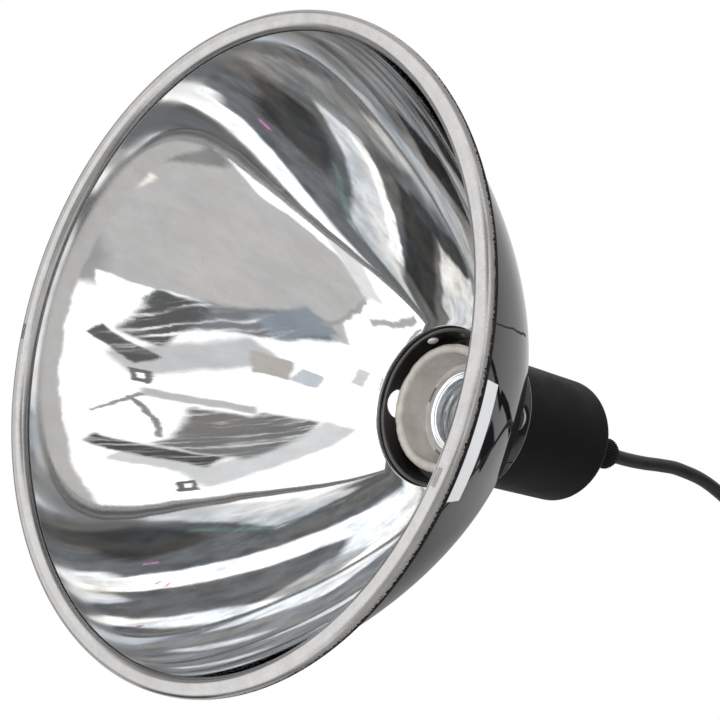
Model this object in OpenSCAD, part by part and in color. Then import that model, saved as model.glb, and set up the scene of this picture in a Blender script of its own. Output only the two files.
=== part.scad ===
// Dome lamp: a spun reflector with a vented neck, a socket cap, a porcelain lamp socket and a mains cord.
// It stands on its rolled rim. Z runs up the lamp's axis, from the mouth of the bowl to the cord.
// All sizes are in millimetres.

/* [Reflector] */
// Width over the rolled rim
rim_d = 216; // [200:1:232]
// Thickness of the rolled rim
bead_d = 6.5; // [5:0.25:8]
// Depth of the flat on which the rim stands
bead_flat = 0.25; // [0.15:0.05:0.4]
// How far the bowl's wall stands inside the middle of the rolled rim
bead_inset = 1; // [0.6:0.1:1.4]
// Gap left where the rolled edge comes round to the bowl
curl_gap = 0.5; // [0.4:0.1:0.8]
// Thickness of the spun sheet
sheet = 0.8; // [0.6:0.1:1]
// Height of the edge where the bowl turns up into the neck
bowl_h = 104.2; // [98:0.1:112]
// How long the bowl's skirt keeps its width above the rim
bowl_skirt = 1.212; // [1.1:0.01:1.4]
// How full the bowl's crown is
bowl_crown = 1.77; // [1.6:0.01:2]
// Clear width of the neck
neck_d = 57.4; // [55:0.1:62]
// Height of the neck above the bowl
neck_h = 15.5; // [14:0.1:20]

/* [Vents and rivets] */
// Width of each vent hole
vent_d = 10.5; // [8:0.1:10.8]
// Height of the vent holes above the bowl
vent_lift = 7.8; // [7:0.1:8]
// Direction of the first vent hole, in degrees
vent_turn = 82; // [75:1:90]
// Width of a rivet's shank
rivet_d = 2.4; // [2:0.1:3.2]
// Width of a rivet's head
rivet_head_d = 4.2; // [3.6:0.1:5.5]
// Height of the rivets above the bowl
rivet_lift = 4.8; // [4.6:0.1:8]
// Direction of the first rivet, in degrees
rivet_turn = 144; // [130:1:150]

/* [Cap] */
// Width of the cap where it meets the neck
cap_d = 47; // [46.6:0.1:50]
// Width of the cap at the top of its side
cap_top_d = 46.4; // [45:0.1:46.5]
// Height of the cap's side above the neck
cap_side_h = 52.8; // [50:0.1:60]
// Radius of the cap's upper edge
cap_edge_r = 4; // [3:0.25:5]
// Thickness of the cap's wall
cap_wall = 2; // [1.6:0.1:2.2]
// Thickness of the cap's skirt inside the neck
skirt_wall = 1.6; // [1.2:0.1:2]
// How far the skirt stops above the edge of the bowl
skirt_lift = 1.3; // [0.8:0.1:1.6]
// Thickness of the cap's shoulder
shoulder_t = 2; // [1.6:0.1:2.4]
// Clearance between the skirt and the neck
skirt_gap = 0.1; // [0.05:0.05:0.2]

/* [Socket] */
// Width of the porcelain collar
collar_d = 46.4; // [45:0.1:48]
// Clear width at the collar's lip
collar_mouth_d = 39.6; // [38.4:0.1:40.6]
// Clear width at the ledge inside the collar
ledge_d = 36.4; // [35.4:0.1:37.4]
// Depth from the collar's lip to the ledge
collar_depth = 12.1; // [11:0.1:13]
// Width of the porcelain body inside the cap
socket_d = 41.2; // [40.4:0.1:42]
// Length of the porcelain body above the ledge
socket_h = 31.5; // [30.5:0.1:33]
// Thickness of the gasket under the shoulder
gasket_t = 0.8; // [0.5:0.1:1.2]
// Clear radius of the screw shell over its thread crests
thread_r = 12.45; // [12.3:0.05:12.6]
// Height of one thread
thread_pitch = 3.629; // [3.5:0.001:3.7]
// Depth of the thread
thread_depth = 0.85; // [0.6:0.05:0.95]
// Number of threads
thread_n = 6; // [5:1:6]
// Thickness of the shell's sheet
shell_t = 0.4; // [0.3:0.05:0.5]
// Radius of the shell's flared mouth
shell_mouth_r = 16.8; // [16:0.1:17]
// Most that the centre contact swings, in degrees
contact_swing = 8; // [4:1:9]

/* [Mounting] */
// Outer width of the hollow threaded stem
stem_d = 10; // [9.6:0.1:10.4]
// Bore of the stem
stem_bore = 7.2; // [6.8:0.1:7.6]
// Width of the bracket strap
strap_w = 12; // [10:0.5:13]
// Thickness of the bracket strap
strap_t = 1.5; // [1.2:0.1:2]
// Height of the bracket over the porcelain
bracket_h = 16; // [15:0.5:18]
// Distance between the bracket's two screws
bracket_span = 31; // [30:0.5:31.5]
// Thickness of a stem nut
nut_t = 3; // [2.4:0.1:3.5]
// Width of a stem nut across its flats
nut_af = 14; // [13.5:0.5:15]

/* [Gland] */
// Height of the gland's hexagonal foot
gland_foot_h = 4; // [3:0.5:5]
// Outer width of the ribbed gland nut
gland_d = 12.1; // [11.9:0.1:14]
// Height of the ribbed gland nut
gland_h = 19.5; // [18:0.5:22]
// Number of ribs round the gland nut
gland_ribs = 32; // [20:1:36]

/* [Cord] */
// Thickness of the round cord
cord_d = 5.5; // [5:0.1:5.8]
// Radius of the coil's outer turn
coil_r = 39.6; // [38.5:0.1:41]
// Width of the tie round the coil
tie_w = 8; // [6:0.5:10]

/* [Line switch] */
// Length of the switch
switch_l = 62; // [60:1:64]
// Width of the switch
switch_w = 26; // [25:0.5:28]
// Height of the switch's base
switch_base_h = 8.5; // [8:0.1:9]
// Height of the switch's cover
switch_cover_h = 9.5; // [9:0.1:10.5]
// Thickness of the switch's walls
switch_wall = 2; // [1.6:0.1:2.2]
// Length of the rocker
rocker_l = 20.4; // [19:0.1:21]
// Width of the rocker
rocker_w = 11.6; // [11:0.1:12]
// How far the rocker tips from off to on, in degrees
rocker_swing = 18; // [12:1:20]

/* [Plug] */
// Length of the plug's body
plug_l = 28; // [26:0.5:30]
// Width of the plug's body
plug_w = 25; // [24:0.5:26]
// Height of the plug's body
plug_h = 16; // [15:0.5:17]
// Distance between the two blades
blade_span = 12.7; // [12.5:0.1:12.9]
// Length of a blade outside the plug
blade_l = 17; // [16:0.5:18]

/* [Hidden] */
$fn = 96;

// Running clearances, as radii
hole_fit = 0.1;
thread_fit = 0.05;
pin_fit = 0.05;

// Reflector
bead_r = bead_d / 2;
bead_z = bead_r - bead_flat;
bead_ring_r = rim_d / 2 - bead_r;
mouth_r = bead_ring_r - bead_inset;
neck_in_r = neck_d / 2;
neck_out_r = neck_in_r + sheet;
neck_top = bowl_h + neck_h;
bowl_reach = (bowl_h - bead_z) / pow(1 - pow(neck_out_r / mouth_r, bowl_crown), 1 / bowl_skirt);
bowl_steps = 30;
// The wall starts inside the rolled edge's own sheet
wall_start = bead_z + sqrt(pow(bead_r - sheet / 2, 2) - pow(bead_inset + sheet / 2, 2));
curl_turn = 72;

function bowl_r(z) = mouth_r * pow(1 - pow((z - bead_z) / bowl_reach, bowl_skirt), 1 / bowl_crown);
function bowl_slope(z) = (bowl_r(z + 0.05) - bowl_r(z - 0.05)) / 0.1;
function bowl_inside(z) =
    let (slope = bowl_slope(z), n = sqrt(1 + slope * slope))
    [bowl_r(z) - sheet / n, z + sheet * slope / n];
bowl_levels = [for (i = [0 : bowl_steps]) wall_start + (bowl_h - wall_start) * i / bowl_steps];
bowl_lip = bowl_inside(bowl_h);
neck_edge_z = bowl_lip[1] - (bowl_lip[0] - neck_in_r) / bowl_slope(bowl_h);

// Vents and rivets
vent_z = bowl_h + vent_lift;
rivet_z = bowl_h + rivet_lift;
vent_turns = [for (i = [0 : 3]) vent_turn + 90 * i];
rivet_turns = [rivet_turn, rivet_turn + 180];
rivet_head_t = 0.9;

// Cap
skirt_out_r = neck_in_r - skirt_gap;
skirt_in_r = skirt_out_r - skirt_wall;
skirt_z = bowl_h + skirt_lift;
shoulder_z = neck_top - shoulder_t;
cap_r = cap_d / 2;
cap_top_r = cap_top_d / 2;
cap_side_top = neck_top + cap_side_h;
cap_edge_turn = 45;
cap_edge_c = cap_top_r - cap_edge_r;
crown_foot_r = cap_edge_c + cap_edge_r * cos(cap_edge_turn);
crown_r = crown_foot_r / sin(cap_edge_turn);
crown_z = cap_side_top + cap_edge_r * sin(cap_edge_turn) - crown_r * cos(cap_edge_turn);
cap_apex = crown_z + crown_r;
cap_boss_r = 8.6;
cap_fillet = 1;

// Socket
collar_r = collar_d / 2;
collar_mouth_r = collar_mouth_d / 2;
ledge_r = ledge_d / 2;
socket_r = socket_d / 2;
lip_r = (collar_r - collar_mouth_r) / 2;
collar_top = shoulder_z - gasket_t;
ledge_z = neck_top - 1.2;
lip_z = ledge_z - collar_depth + lip_r;
socket_top = ledge_z + socket_h;
shell_lead = 0.8;
shell_land = 0.9;
shell_foot_z = ledge_z + shell_lead + thread_n * thread_pitch;
shell_wall_r = thread_r + thread_depth + shell_t;
cavity_r = shell_wall_r + 0.4;
well_r = 7;
well_depth = 3;
well_z = shell_foot_z + shell_t + well_depth;
shell_hole_r = 6.5;
notch_turns = [18, 100, 215];

// Centre contact
post_x = -5.2;
post_r = 1.5;
post_head_r = 1.4;
post_head_t = 1.2;
tongue_x = post_x + post_head_r + 0.1;
tongue_z = well_z - 0.9;
tongue_w = 5;
tongue_t = 0.5;

// Terminals, bracket and stem
terminal_t = 1;
terminal_head_t = 2;
terminal_y = 13;
terminal_hole_r = 1.6;
bracket_x = bracket_span / 2;
bracket_leg_x = 11;
bridge_z = socket_top + bracket_h;
stem_r = stem_d / 2;
stem_z = bridge_z - strap_t - nut_t - 1;
gland_z = cap_apex;
gland_nut_z = gland_z + gland_foot_h;
gland_top = gland_nut_z + gland_h;
stem_top = gland_nut_z + 6;
grommet_z = stem_top + 0.2;
grommet_top = gland_top - 2.8;
cord_r = cord_d / 2;
sheath_end = stem_z - 1.5;
lead_d = 2.2;

// Switch, on the floor beside the lamp
switch_x = 155;
switch_y = 9.4;
switch_turn = 70;
switch_axis_z = switch_base_h;
switch_top = switch_base_h + switch_cover_h;
switch_heading = [cos(switch_turn), sin(switch_turn), 0];
switch_bite = 1.5;
switch_in = [switch_x, switch_y, switch_axis_z] - (switch_l / 2 - switch_bite) * switch_heading;
switch_out = [switch_x, switch_y, switch_axis_z] + (switch_l / 2 - switch_bite) * switch_heading;
switch_mouth_r = cord_r + hole_fit;
rocker_z = switch_top - 3.5;
rocker_pin_r = 1.25;
rocker_pin_l = 3;
lever_z = 7.6;
lever_reach = 8;
lever_w = 5;
lever_t = 0.8;
lever_pin_r = 0.8;
rocker_nose = rocker_z - lever_z - lever_pin_r - 0.3;
lever_tilt = rocker_swing / 4;

// Coil: turns lie beside and on each other, on the tie that holds them
turn_gap = 0.5;
turn_step = cord_d + turn_gap;
tie_t = 0.8;
tie_gap = 1;
coil_lead = 31.5;
coil_start_turn = switch_turn + 90;
coil_foot = switch_out + coil_lead * switch_heading;
coil_x = coil_foot[0] - coil_r * cos(coil_start_turn);
coil_y = coil_foot[1] - coil_r * sin(coil_start_turn);
coil_z = tie_t + 0.2 + cord_r;
coil_turns = 5 + coil_start_turn / 360;
coil_middle = coil_turns / 2;
coil_steps = 24;
tie_turn = 90;

function coil_radius(u) = coil_r - turn_step * (coil_middle - abs(u - coil_middle));
function ease(t) = t <= 0 ? 0 : t >= 1 ? 1 : t * t * (3 - 2 * t);
function coil_height(u) = coil_z + turn_step * ease((u - coil_middle + 0.25) / 0.5);
function coil_point(u) =
    let (turn = coil_start_turn - 360 * u, r = coil_radius(u))
    [coil_x + r * cos(turn), coil_y + r * sin(turn), coil_height(u)];
coil_start = coil_point(0);
coil_end = coil_point(coil_turns);
coil_in = coil_start - cord_d * switch_heading;
coil_out = coil_end - [0, cord_d, 0];
coil_path = concat(
    [coil_in],
    [for (i = [0 : floor(coil_turns * coil_steps)]) coil_point(i / coil_steps)],
    [coil_end, coil_out]
);

// Plug, on the floor beside the coil
plug_x = coil_x + coil_r;
plug_y = 3;
plug_turn = -90;
plug_axis_z = plug_h / 2;
plug_sleeve_l = 14;
plug_sleeve_r = 4.4;
plug_bite = 2;
plug_in = [plug_x, plug_y + plug_sleeve_l - plug_bite, plug_axis_z];
blade_t = 1.5;
blade_w = 6.4;
blade_root = 9;
blade_hole_r = 1.6;

// Route of the free cord: up out of the gland, over, down to the floor and along it to the switch
free_points = [
    [0, 0, gland_top], [0, 0, gland_top + 3], [0, 0, 218], [-0.5, 0, 230], [-1.5, 0, 242], [-2, -0.5, 254],
    [2, -3.5, 280], [14, -12, 302], [32, -25, 317], [53, -40.5, 322], [74, -56, 317],
    [92, -69, 302], [104, -77.5, 280], [109, -81.5, 254], [111, -83.5, 220], [112, -84, 180],
    [112, -84, 140], [112, -84, 100], [112, -84, 60], [112.6, -82.8, 44], [115.6, -77.6, 24],
    [123.5, -64, 9], [133, -47, 3.1], [139, -33.5, 5], switch_in - 7 * switch_heading,
    switch_in - 2 * switch_heading, switch_in
];
to_coil_points = [
    switch_out, switch_out + 3 * switch_heading, coil_in - 13 * switch_heading + [0, 0, 2.4],
    coil_in - 2 * switch_heading, coil_in
];
to_plug_points = [
    coil_out, coil_out - [0, 2, 0], coil_out - [0, 11, 0.5], plug_in + [0, 10, 0.3],
    plug_in + [0, 2, 0], plug_in
];

function unit(v) = v / norm(v);
function blend_point(a, b, c, d, t) =
    0.5 * (2 * b + (c - a) * t + (2 * a - 5 * b + 4 * c - d) * t * t + (3 * b - a - 3 * c + d) * t * t * t);
// Smooth curve through points; its first and last spans stay straight
function smooth_path(p, n) =
    let (last = len(p) - 1)
    concat(
        [for (i = [0 : last - 1], k = [0 : n - 1])
            i == 0 || i == last - 1
                ? p[i] + (p[i + 1] - p[i]) * k / n
                : blend_point(p[i - 1], p[i], p[i + 1], p[i + 2], k / n)],
        [p[last]]
    );
function headings(p) =
    let (last = len(p) - 1)
    [for (i = [0 : last]) unit(p[min(i + 1, last)] - p[max(i - 1, 0)])];
function across(v, t) = unit(v - (v * t) * t);
function sides(t, i, v) =
    i == len(t) ? [] : let (w = across(v, t[i])) concat([w], sides(t, i + 1, w));
function path_length(p) = len(p) < 2 ? 0 : [for (i = [0 : len(p) - 2]) norm(p[i + 1] - p[i])] * [for (i = [0 : len(p) - 2]) 1];
function least_gap(p, d, skip) =
    min([for (i = [0 : len(p) - 1 - skip]) min([for (j = [i + skip : len(p) - 1]) norm(p[i] - p[j])])]) - d;

free_path = smooth_path(free_points, 2);
to_coil_path = smooth_path(to_coil_points, 3);
to_plug_path = smooth_path(to_plug_points, 3);
echo(coil_least_gap = least_gap(coil_path, cord_d, 9));
echo(cord_lengths = [
    gland_top - sheath_end, path_length(smooth_path(free_points, 12)), switch_l - 2 * switch_bite,
    path_length(smooth_path(to_coil_points, 12)), path_length(coil_path),
    path_length(smooth_path(to_plug_points, 12))
]);

// Round tube swept along a path, with flat ends
module tube(path, d, n, side = [0, 1, 0]) {
    t = headings(path);
    u = sides(t, 0, side);
    rings = len(path);
    points = [for (i = [0 : rings - 1], k = [0 : n - 1])
        let (a = 360 * (k + 0.5) / n)
        path[i] + d / 2 * (cos(a) * u[i] + sin(a) * cross(t[i], u[i]))];
    walls = [for (i = [0 : rings - 2], k = [0 : n - 1])
        let (a = i * n + k, b = i * n + (k + 1) % n)
        each [[a, a + n, b], [b, a + n, b + n]]];
    near_end = [for (k = [1 : n - 2]) [0, k, k + 1]];
    top = (rings - 1) * n;
    far_end = [for (k = [1 : n - 2]) [top, top + k + 1, top + k]];
    polyhedron(points = points, faces = concat(walls, near_end, far_end));
}

// Children stand at each direction round the lamp's axis
module round_axis(turns) {
    for (a = turns) rotate([0, 0, a]) children();
}

// A hole through the neck, along X
module neck_hole(z, d) {
    translate([skirt_in_r - 3, 0, z]) rotate([0, 90, 0]) cylinder(d = d, h = neck_out_r - skirt_in_r + 6);
}

module hex_nut(af, h, bore_r) {
    difference() {
        cylinder(r = af / 2 / cos(30), h = h, $fn = 6);
        translate([0, 0, -1]) cylinder(r = bore_r, h = h + 2);
    }
}

module pan_screw(d, l, head_d, head_t) {
    difference() {
        union() {
            translate([0, 0, -l]) cylinder(d = d, h = l);
            cylinder(d = head_d, h = head_t);
        }
        translate([-head_d, -0.4, head_t - 0.7]) cube([2 * head_d, 0.8, 2]);
    }
}

// Reflector
module reflector() {
    color("gainsboro") difference() {
        rotate_extrude() {
            polygon(concat(
                [for (z = bowl_levels) [bowl_r(z), z]],
                [[neck_out_r, neck_top], [neck_in_r, neck_top], [neck_in_r, neck_edge_z]],
                [for (i = [bowl_steps : -1 : 0]) bowl_inside(bowl_levels[i])]
            ));
            difference() {
                translate([bead_ring_r, bead_z]) difference() {
                    circle(r = bead_r);
                    circle(r = bead_r - sheet);
                    rotate(curl_turn) translate([bead_r - 2 * sheet, -curl_gap / 2]) square([3 * sheet, curl_gap]);
                }
                translate([bead_ring_r - bead_d, -bead_d]) square([2 * bead_d, bead_d]);
            }
        }
        round_axis(vent_turns) neck_hole(vent_z, vent_d);
        round_axis(rivet_turns) neck_hole(rivet_z, rivet_d + 2 * hole_fit);
    }
}

// Cap with its skirt inside the neck
module cap() {
    edge_turns = [for (a = [0 : 9 : cap_edge_turn]) a];
    outer_edge = [for (a = edge_turns) [cap_edge_c + cap_edge_r * cos(a), cap_side_top + cap_edge_r * sin(a)]];
    inner_r = cap_edge_r - cap_wall;
    inner_edge = [for (a = edge_turns) [cap_edge_c + inner_r * cos(a), cap_side_top + inner_r * sin(a)]];
    boss_turn = asin(cap_boss_r / crown_r);
    crown_turns = [for (i = [1 : 5]) cap_edge_turn + (boss_turn - cap_edge_turn) * i / 5];
    outer_crown = [for (a = crown_turns) [crown_r * sin(a), crown_z + crown_r * cos(a)]];
    inner_crown = [for (a = crown_turns) [(crown_r - cap_wall) * sin(a), crown_z + (crown_r - cap_wall) * cos(a)]];
    hole_r = stem_r + hole_fit;
    fillet = [for (a = [0 : 30 : 90]) [
        cap_r + cap_fillet * (1 - sin(a)), neck_top + cap_fillet * (1 - cos(a))]];
    color("#202022") difference() {
        rotate_extrude() polygon(concat(
            [[skirt_in_r, skirt_z], [skirt_out_r, skirt_z], [skirt_out_r, neck_top]],
            fillet,
            outer_edge,
            outer_crown,
            [[cap_boss_r, cap_apex], [hole_r, cap_apex], [hole_r, cap_apex - 1.6 * cap_wall]],
            [[inner_crown[4][0], cap_apex - 1.6 * cap_wall]],
            [for (i = [4 : -1 : 0]) inner_crown[i]],
            [for (i = [len(inner_edge) - 1 : -1 : 0]) inner_edge[i]],
            [[cap_r - cap_wall, shoulder_z], [skirt_in_r, shoulder_z]]
        ));
        round_axis(vent_turns) neck_hole(vent_z, vent_d);
        round_axis(rivet_turns) neck_hole(rivet_z, rivet_d + 2 * hole_fit);
    }
}

module neck_rivets() {
    inner = skirt_in_r - 0.1;
    outer = neck_out_r + 0.05;
    color("silver") round_axis(rivet_turns) translate([0, 0, rivet_z]) rotate([0, 90, 0]) {
        translate([0, 0, inner - 0.2]) cylinder(d = rivet_d, h = outer - inner + 0.4);
        translate([0, 0, inner - rivet_head_t]) cylinder(d1 = rivet_head_d - 1.2, d2 = rivet_head_d, h = rivet_head_t);
        translate([0, 0, outer]) cylinder(d1 = rivet_head_d + 0.6, d2 = rivet_head_d - 0.4, h = rivet_head_t);
    }
}

// Porcelain socket
module socket_body() {
    lip_turns = [for (a = [0 : -18 : -180]) a];
    lip_c = collar_mouth_r + lip_r;
    floor_z = shell_foot_z + shell_t;
    color("#d8d2c8") difference() {
        rotate_extrude() polygon(concat(
            [for (a = lip_turns) [lip_c + lip_r * cos(a), lip_z + lip_r * sin(a)]],
            [[ledge_r, ledge_z], [cavity_r, ledge_z], [cavity_r, floor_z], [well_r, floor_z]],
            [[well_r, well_z], [0, well_z], [0, socket_top], [socket_r, socket_top]],
            [[socket_r, collar_top], [collar_r, collar_top]]
        ));
        round_axis(notch_turns) translate([cavity_r - 1, -3, ledge_z - 0.1]) cube([ledge_r - cavity_r + 1, 6, 3]);
        translate([post_x, 0, well_z - 1]) cylinder(r = post_r + hole_fit, h = socket_top);
        translate([-3.2, 9.3, floor_z - 1]) cube([6.4, 1, socket_top]);
        for (s = [-1, 1]) {
            translate([s * bracket_x, 0, socket_top - 5.5]) cylinder(r = terminal_hole_r, h = 6);
            translate([0, s * terminal_y, socket_top - 4.5]) cylinder(r = terminal_hole_r, h = 6);
        }
    }
}

module socket_gasket() {
    color("dimgray") translate([0, 0, collar_top]) difference() {
        cylinder(r = collar_r, h = gasket_t);
        translate([0, 0, -1]) cylinder(r = socket_r + 0.5, h = gasket_t + 2);
    }
}

function thread_ring(i) =
    let (z = ledge_z + shell_lead + i * thread_pitch, rise = thread_pitch - shell_land)
    [
        [thread_r, z], [thread_r, z + shell_land],
        [thread_r + 0.4 * thread_depth, z + shell_land + 0.2 * rise],
        [thread_r + thread_depth, z + shell_land + 0.42 * rise],
        [thread_r + thread_depth, z + shell_land + 0.58 * rise],
        [thread_r + 0.4 * thread_depth, z + shell_land + 0.8 * rise]
    ];

module screw_shell() {
    inside = [for (i = [0 : thread_n - 1]) each thread_ring(i)];
    last = len(inside) - 1;
    color("silver") rotate_extrude() polygon(concat(
        [[shell_mouth_r, ledge_z], [shell_mouth_r, ledge_z - shell_t], [thread_r + 1, ledge_z - shell_t]],
        inside,
        [[thread_r, shell_foot_z], [shell_hole_r, shell_foot_z], [shell_hole_r, shell_foot_z + shell_t]],
        [[thread_r + shell_t, shell_foot_z + shell_t]],
        [for (i = [last : -1 : 0]) inside[i] + [shell_t, 0]],
        [[thread_r + 1 + shell_t, ledge_z]]
    ));
}

module centre_post() {
    color("goldenrod") translate([post_x, 0, 0]) {
        translate([0, 0, well_z - post_head_t]) cylinder(r = post_head_r, h = post_head_t + 0.1);
        translate([0, 0, well_z]) cylinder(r = post_r, h = socket_top - well_z + terminal_t + 0.8);
    }
}

// Sprung centre contact, drawn at rest
module contact_tongue() {
    color("gold") translate([tongue_x, tongue_w / 2, tongue_z]) rotate([90, 0, 0]) linear_extrude(tongue_w)
        polygon([
            [0, 0], [3.4, -3.2], [5.2, -3.5], [6.8, -3.2], [7.6, -2.4],
            [7.2, -2], [6.5, -2.7], [5.2, -3], [3.6, -2.7], [0.1, tongue_t]
        ]);
}

module live_terminal() {
    color("goldenrod") translate([0, 0, socket_top]) difference() {
        union() {
            translate([-9, -3, 0]) cube([7.5, 6, terminal_t]);
            translate([-5, -terminal_y - 4, 0]) cube([9, terminal_y + 3, terminal_t]);
        }
        translate([post_x, 0, -1]) cylinder(r = post_r + hole_fit, h = 3);
        translate([0, -terminal_y, -1]) cylinder(r = terminal_hole_r, h = 3);
    }
}

module neutral_terminal() {
    color("silver") difference() {
        union() {
            translate([-4, 9.5, socket_top]) cube([8, 8, terminal_t]);
            translate([-3, 9.5, shell_foot_z + shell_t]) cube([6, 0.6, socket_top - shell_foot_z]);
        }
        translate([0, terminal_y, socket_top - 1]) cylinder(r = terminal_hole_r, h = 3);
    }
}

module terminal_screws() {
    color("goldenrod") for (s = [-1, 1])
        translate([0, s * terminal_y, socket_top + terminal_t]) pan_screw(2 * terminal_hole_r - 0.2, 5, 6, terminal_head_t);
}

// Bracket that hangs the socket on the stem
module bracket() {
    top = bracket_h;
    foot = bracket_x + 3.6;
    color("lightsteelblue") difference() {
        translate([0, strap_w / 2, socket_top]) rotate([90, 0, 0]) linear_extrude(strap_w) polygon([
            [-foot, 0], [-bracket_leg_x, 0], [-bracket_leg_x, top - strap_t], [bracket_leg_x, top - strap_t],
            [bracket_leg_x, 0], [foot, 0], [foot, strap_t], [bracket_leg_x + strap_t, strap_t],
            [bracket_leg_x + strap_t, top], [-bracket_leg_x - strap_t, top],
            [-bracket_leg_x - strap_t, strap_t], [-foot, strap_t]
        ]);
        translate([0, 0, socket_top]) cylinder(r = stem_r + hole_fit, h = 2 * top);
        for (s = [-1, 1]) translate([s * bracket_x, 0, socket_top - 1]) cylinder(r = terminal_hole_r, h = 4);
    }
}

module bracket_screws() {
    color("silver") for (s = [-1, 1])
        translate([s * bracket_x, 0, socket_top + strap_t]) pan_screw(2 * terminal_hole_r - 0.2, 6.5, 5.4, 2);
}

module stem() {
    color("silver") translate([0, 0, stem_z]) difference() {
        cylinder(r = stem_r, h = stem_top - stem_z);
        translate([0, 0, -1]) cylinder(d = stem_bore, h = stem_top - stem_z + 2);
    }
}

module stem_nuts() {
    color("silver") {
        translate([0, 0, bridge_z - strap_t - nut_t]) hex_nut(nut_af, nut_t, stem_r + thread_fit);
        translate([0, 0, bridge_z]) hex_nut(nut_af, nut_t, stem_r + thread_fit);
    }
}

// Cord gland
module gland_foot() {
    color("#1c1c1e") translate([0, 0, gland_z]) hex_nut(nut_af, gland_foot_h, stem_r + thread_fit);
}

module gland_nut() {
    rib_depth = 0.5;
    rib_r = gland_d / 2;
    core_r = rib_r - rib_depth;
    shoulder = 3.2;
    shoulder_in = 2.2;
    neck_r = core_r - 0.2;
    rib_turn = 360 / gland_ribs;
    rib_outline = [for (i = [0 : gland_ribs - 1], corner = [[0, core_r], [0.2, rib_r], [0.5, rib_r], [0.7, core_r]])
        let (a = (i + corner[0]) * rib_turn) corner[1] * [cos(a), sin(a)]];
    color("#1c1c1e") translate([0, 0, gland_nut_z]) difference() {
        union() {
            linear_extrude(gland_h - shoulder) polygon(rib_outline);
            rotate_extrude() polygon(concat(
                [[0, 1], [neck_r, 1], [neck_r, gland_h - shoulder]],
                [for (a = [15 : 15 : 75]) [
                    neck_r - shoulder_in * (1 - cos(a)), gland_h - shoulder + shoulder * sin(a)]],
                [[neck_r - shoulder_in, gland_h], [0, gland_h]]
            ));
        }
        translate([0, 0, -1]) cylinder(r = stem_r + thread_fit, h = stem_top - gland_nut_z + 1.2);
        cylinder(r = stem_r - 0.2, h = grommet_top - gland_nut_z + 0.2);
        cylinder(r = cord_r + hole_fit, h = gland_h + 1);
    }
}

module cord_grommet() {
    color("black") translate([0, 0, grommet_z]) difference() {
        cylinder(r = stem_r - 0.4, h = grommet_top - grommet_z);
        translate([0, 0, -1]) cylinder(r = cord_r + pin_fit, h = grommet_top - grommet_z + 2);
    }
}

// Cord inside the lamp, and its two cores
module cord_entry() {
    color("#18181a") translate([0, 0, sheath_end]) cylinder(r = cord_r, h = gland_top - sheath_end);
}

module lead(side, shade) {
    end_z = socket_top + terminal_t + terminal_head_t + lead_d / 2 + 0.1;
    start_z = sheath_end - 0.1;
    color(shade) tube(smooth_path([
        [0, side * 1.3, start_z], [0, side * 1.3, start_z - 1], [0, side * 2.6, start_z - 2.9],
        [0, side * 5.4, end_z + 0.6], [0, side * 9, end_z], [0, side * terminal_y, end_z],
        [0, side * (terminal_y + 2.5), end_z]
    ], 3), lead_d, 8, [1, 0, 0]);
}

module live_lead() {
    lead(-1, "black");
}

module neutral_lead() {
    lead(1, "white");
}

// Free cord and coil
module cord_free() {
    color("#18181a") tube(free_path, cord_d, 10);
}

module cord_to_coil() {
    color("#18181a") tube(to_coil_path, cord_d, 10, [0, 0, 1]);
}

module cord_coil() {
    color("#18181a") tube(coil_path, cord_d, 6, [0, 0, 1]);
}

module cord_to_plug() {
    color("#18181a") tube(to_plug_path, cord_d, 10, [0, 0, 1]);
}

module cord_tie() {
    first = (coil_start_turn - tie_turn) / 360;
    reach_out = coil_radius(first) + cord_r + tie_gap;
    reach_in = coil_radius(first + floor(coil_middle - first)) - cord_r - tie_gap;
    inner_w = reach_out - reach_in;
    inner_h = turn_step + cord_d + 2 * (coil_z - cord_r - tie_t);
    color("#111111") translate([coil_x, coil_y, 0]) rotate([0, 0, tie_turn])
        translate([(reach_out + reach_in) / 2, tie_w / 2, tie_t + inner_h / 2]) rotate([90, 0, 0])
            linear_extrude(tie_w) difference() {
                square([inner_w + 2 * tie_t, inner_h + 2 * tie_t], center = true);
                square([inner_w, inner_h], center = true);
            }
}

// Line switch
module at_switch() {
    translate([switch_x, switch_y, 0]) rotate([0, 0, switch_turn]) children();
}

function switch_outline(inset) =
    let (l = switch_l / 2 - inset, w = switch_w / 2 - inset, e = 5.6 - inset / 2)
    [
        [-l, -e], [-0.66 * l, 1 - w], [-0.3 * l, -w], [0.3 * l, -w], [0.66 * l, 1 - w], [l, -e],
        [l, e], [0.66 * l, w - 1], [0.3 * l, w], [-0.3 * l, w], [-0.66 * l, w - 1], [-l, e]
    ];

module cord_mouths() {
    for (s = [-1, 1]) translate([s * (switch_l / 2 - 4), 0, switch_axis_z]) rotate([0, 90, 0])
        cylinder(r = switch_mouth_r, h = 12, center = true);
}

module switch_base() {
    post_h = lever_z + 1.8;
    color("#1d1d1f") at_switch() difference() {
        union() {
            difference() {
                linear_extrude(switch_base_h) polygon(switch_outline(0));
                translate([0, 0, switch_wall]) linear_extrude(switch_base_h) polygon(switch_outline(switch_wall));
            }
            for (s = [-1, 1]) {
                translate([-1.6, s * (lever_w / 2 + 1) - 0.6, 0.5]) cube([3.2, 1.2, post_h - 0.5]);
                translate([s * 18, 0, 0.5]) cylinder(r = 3, h = switch_base_h - 0.5);
            }
        }
        cord_mouths();
        translate([0, 0, lever_z]) rotate([90, 0, 0]) cylinder(r = lever_pin_r + pin_fit, h = 20, center = true);
        for (s = [-1, 1]) translate([s * 18, 0, -1]) {
            cylinder(r = 1.5, h = switch_base_h + 2);
            cylinder(r = 2.6, h = 3);
        }
    }
}

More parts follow.
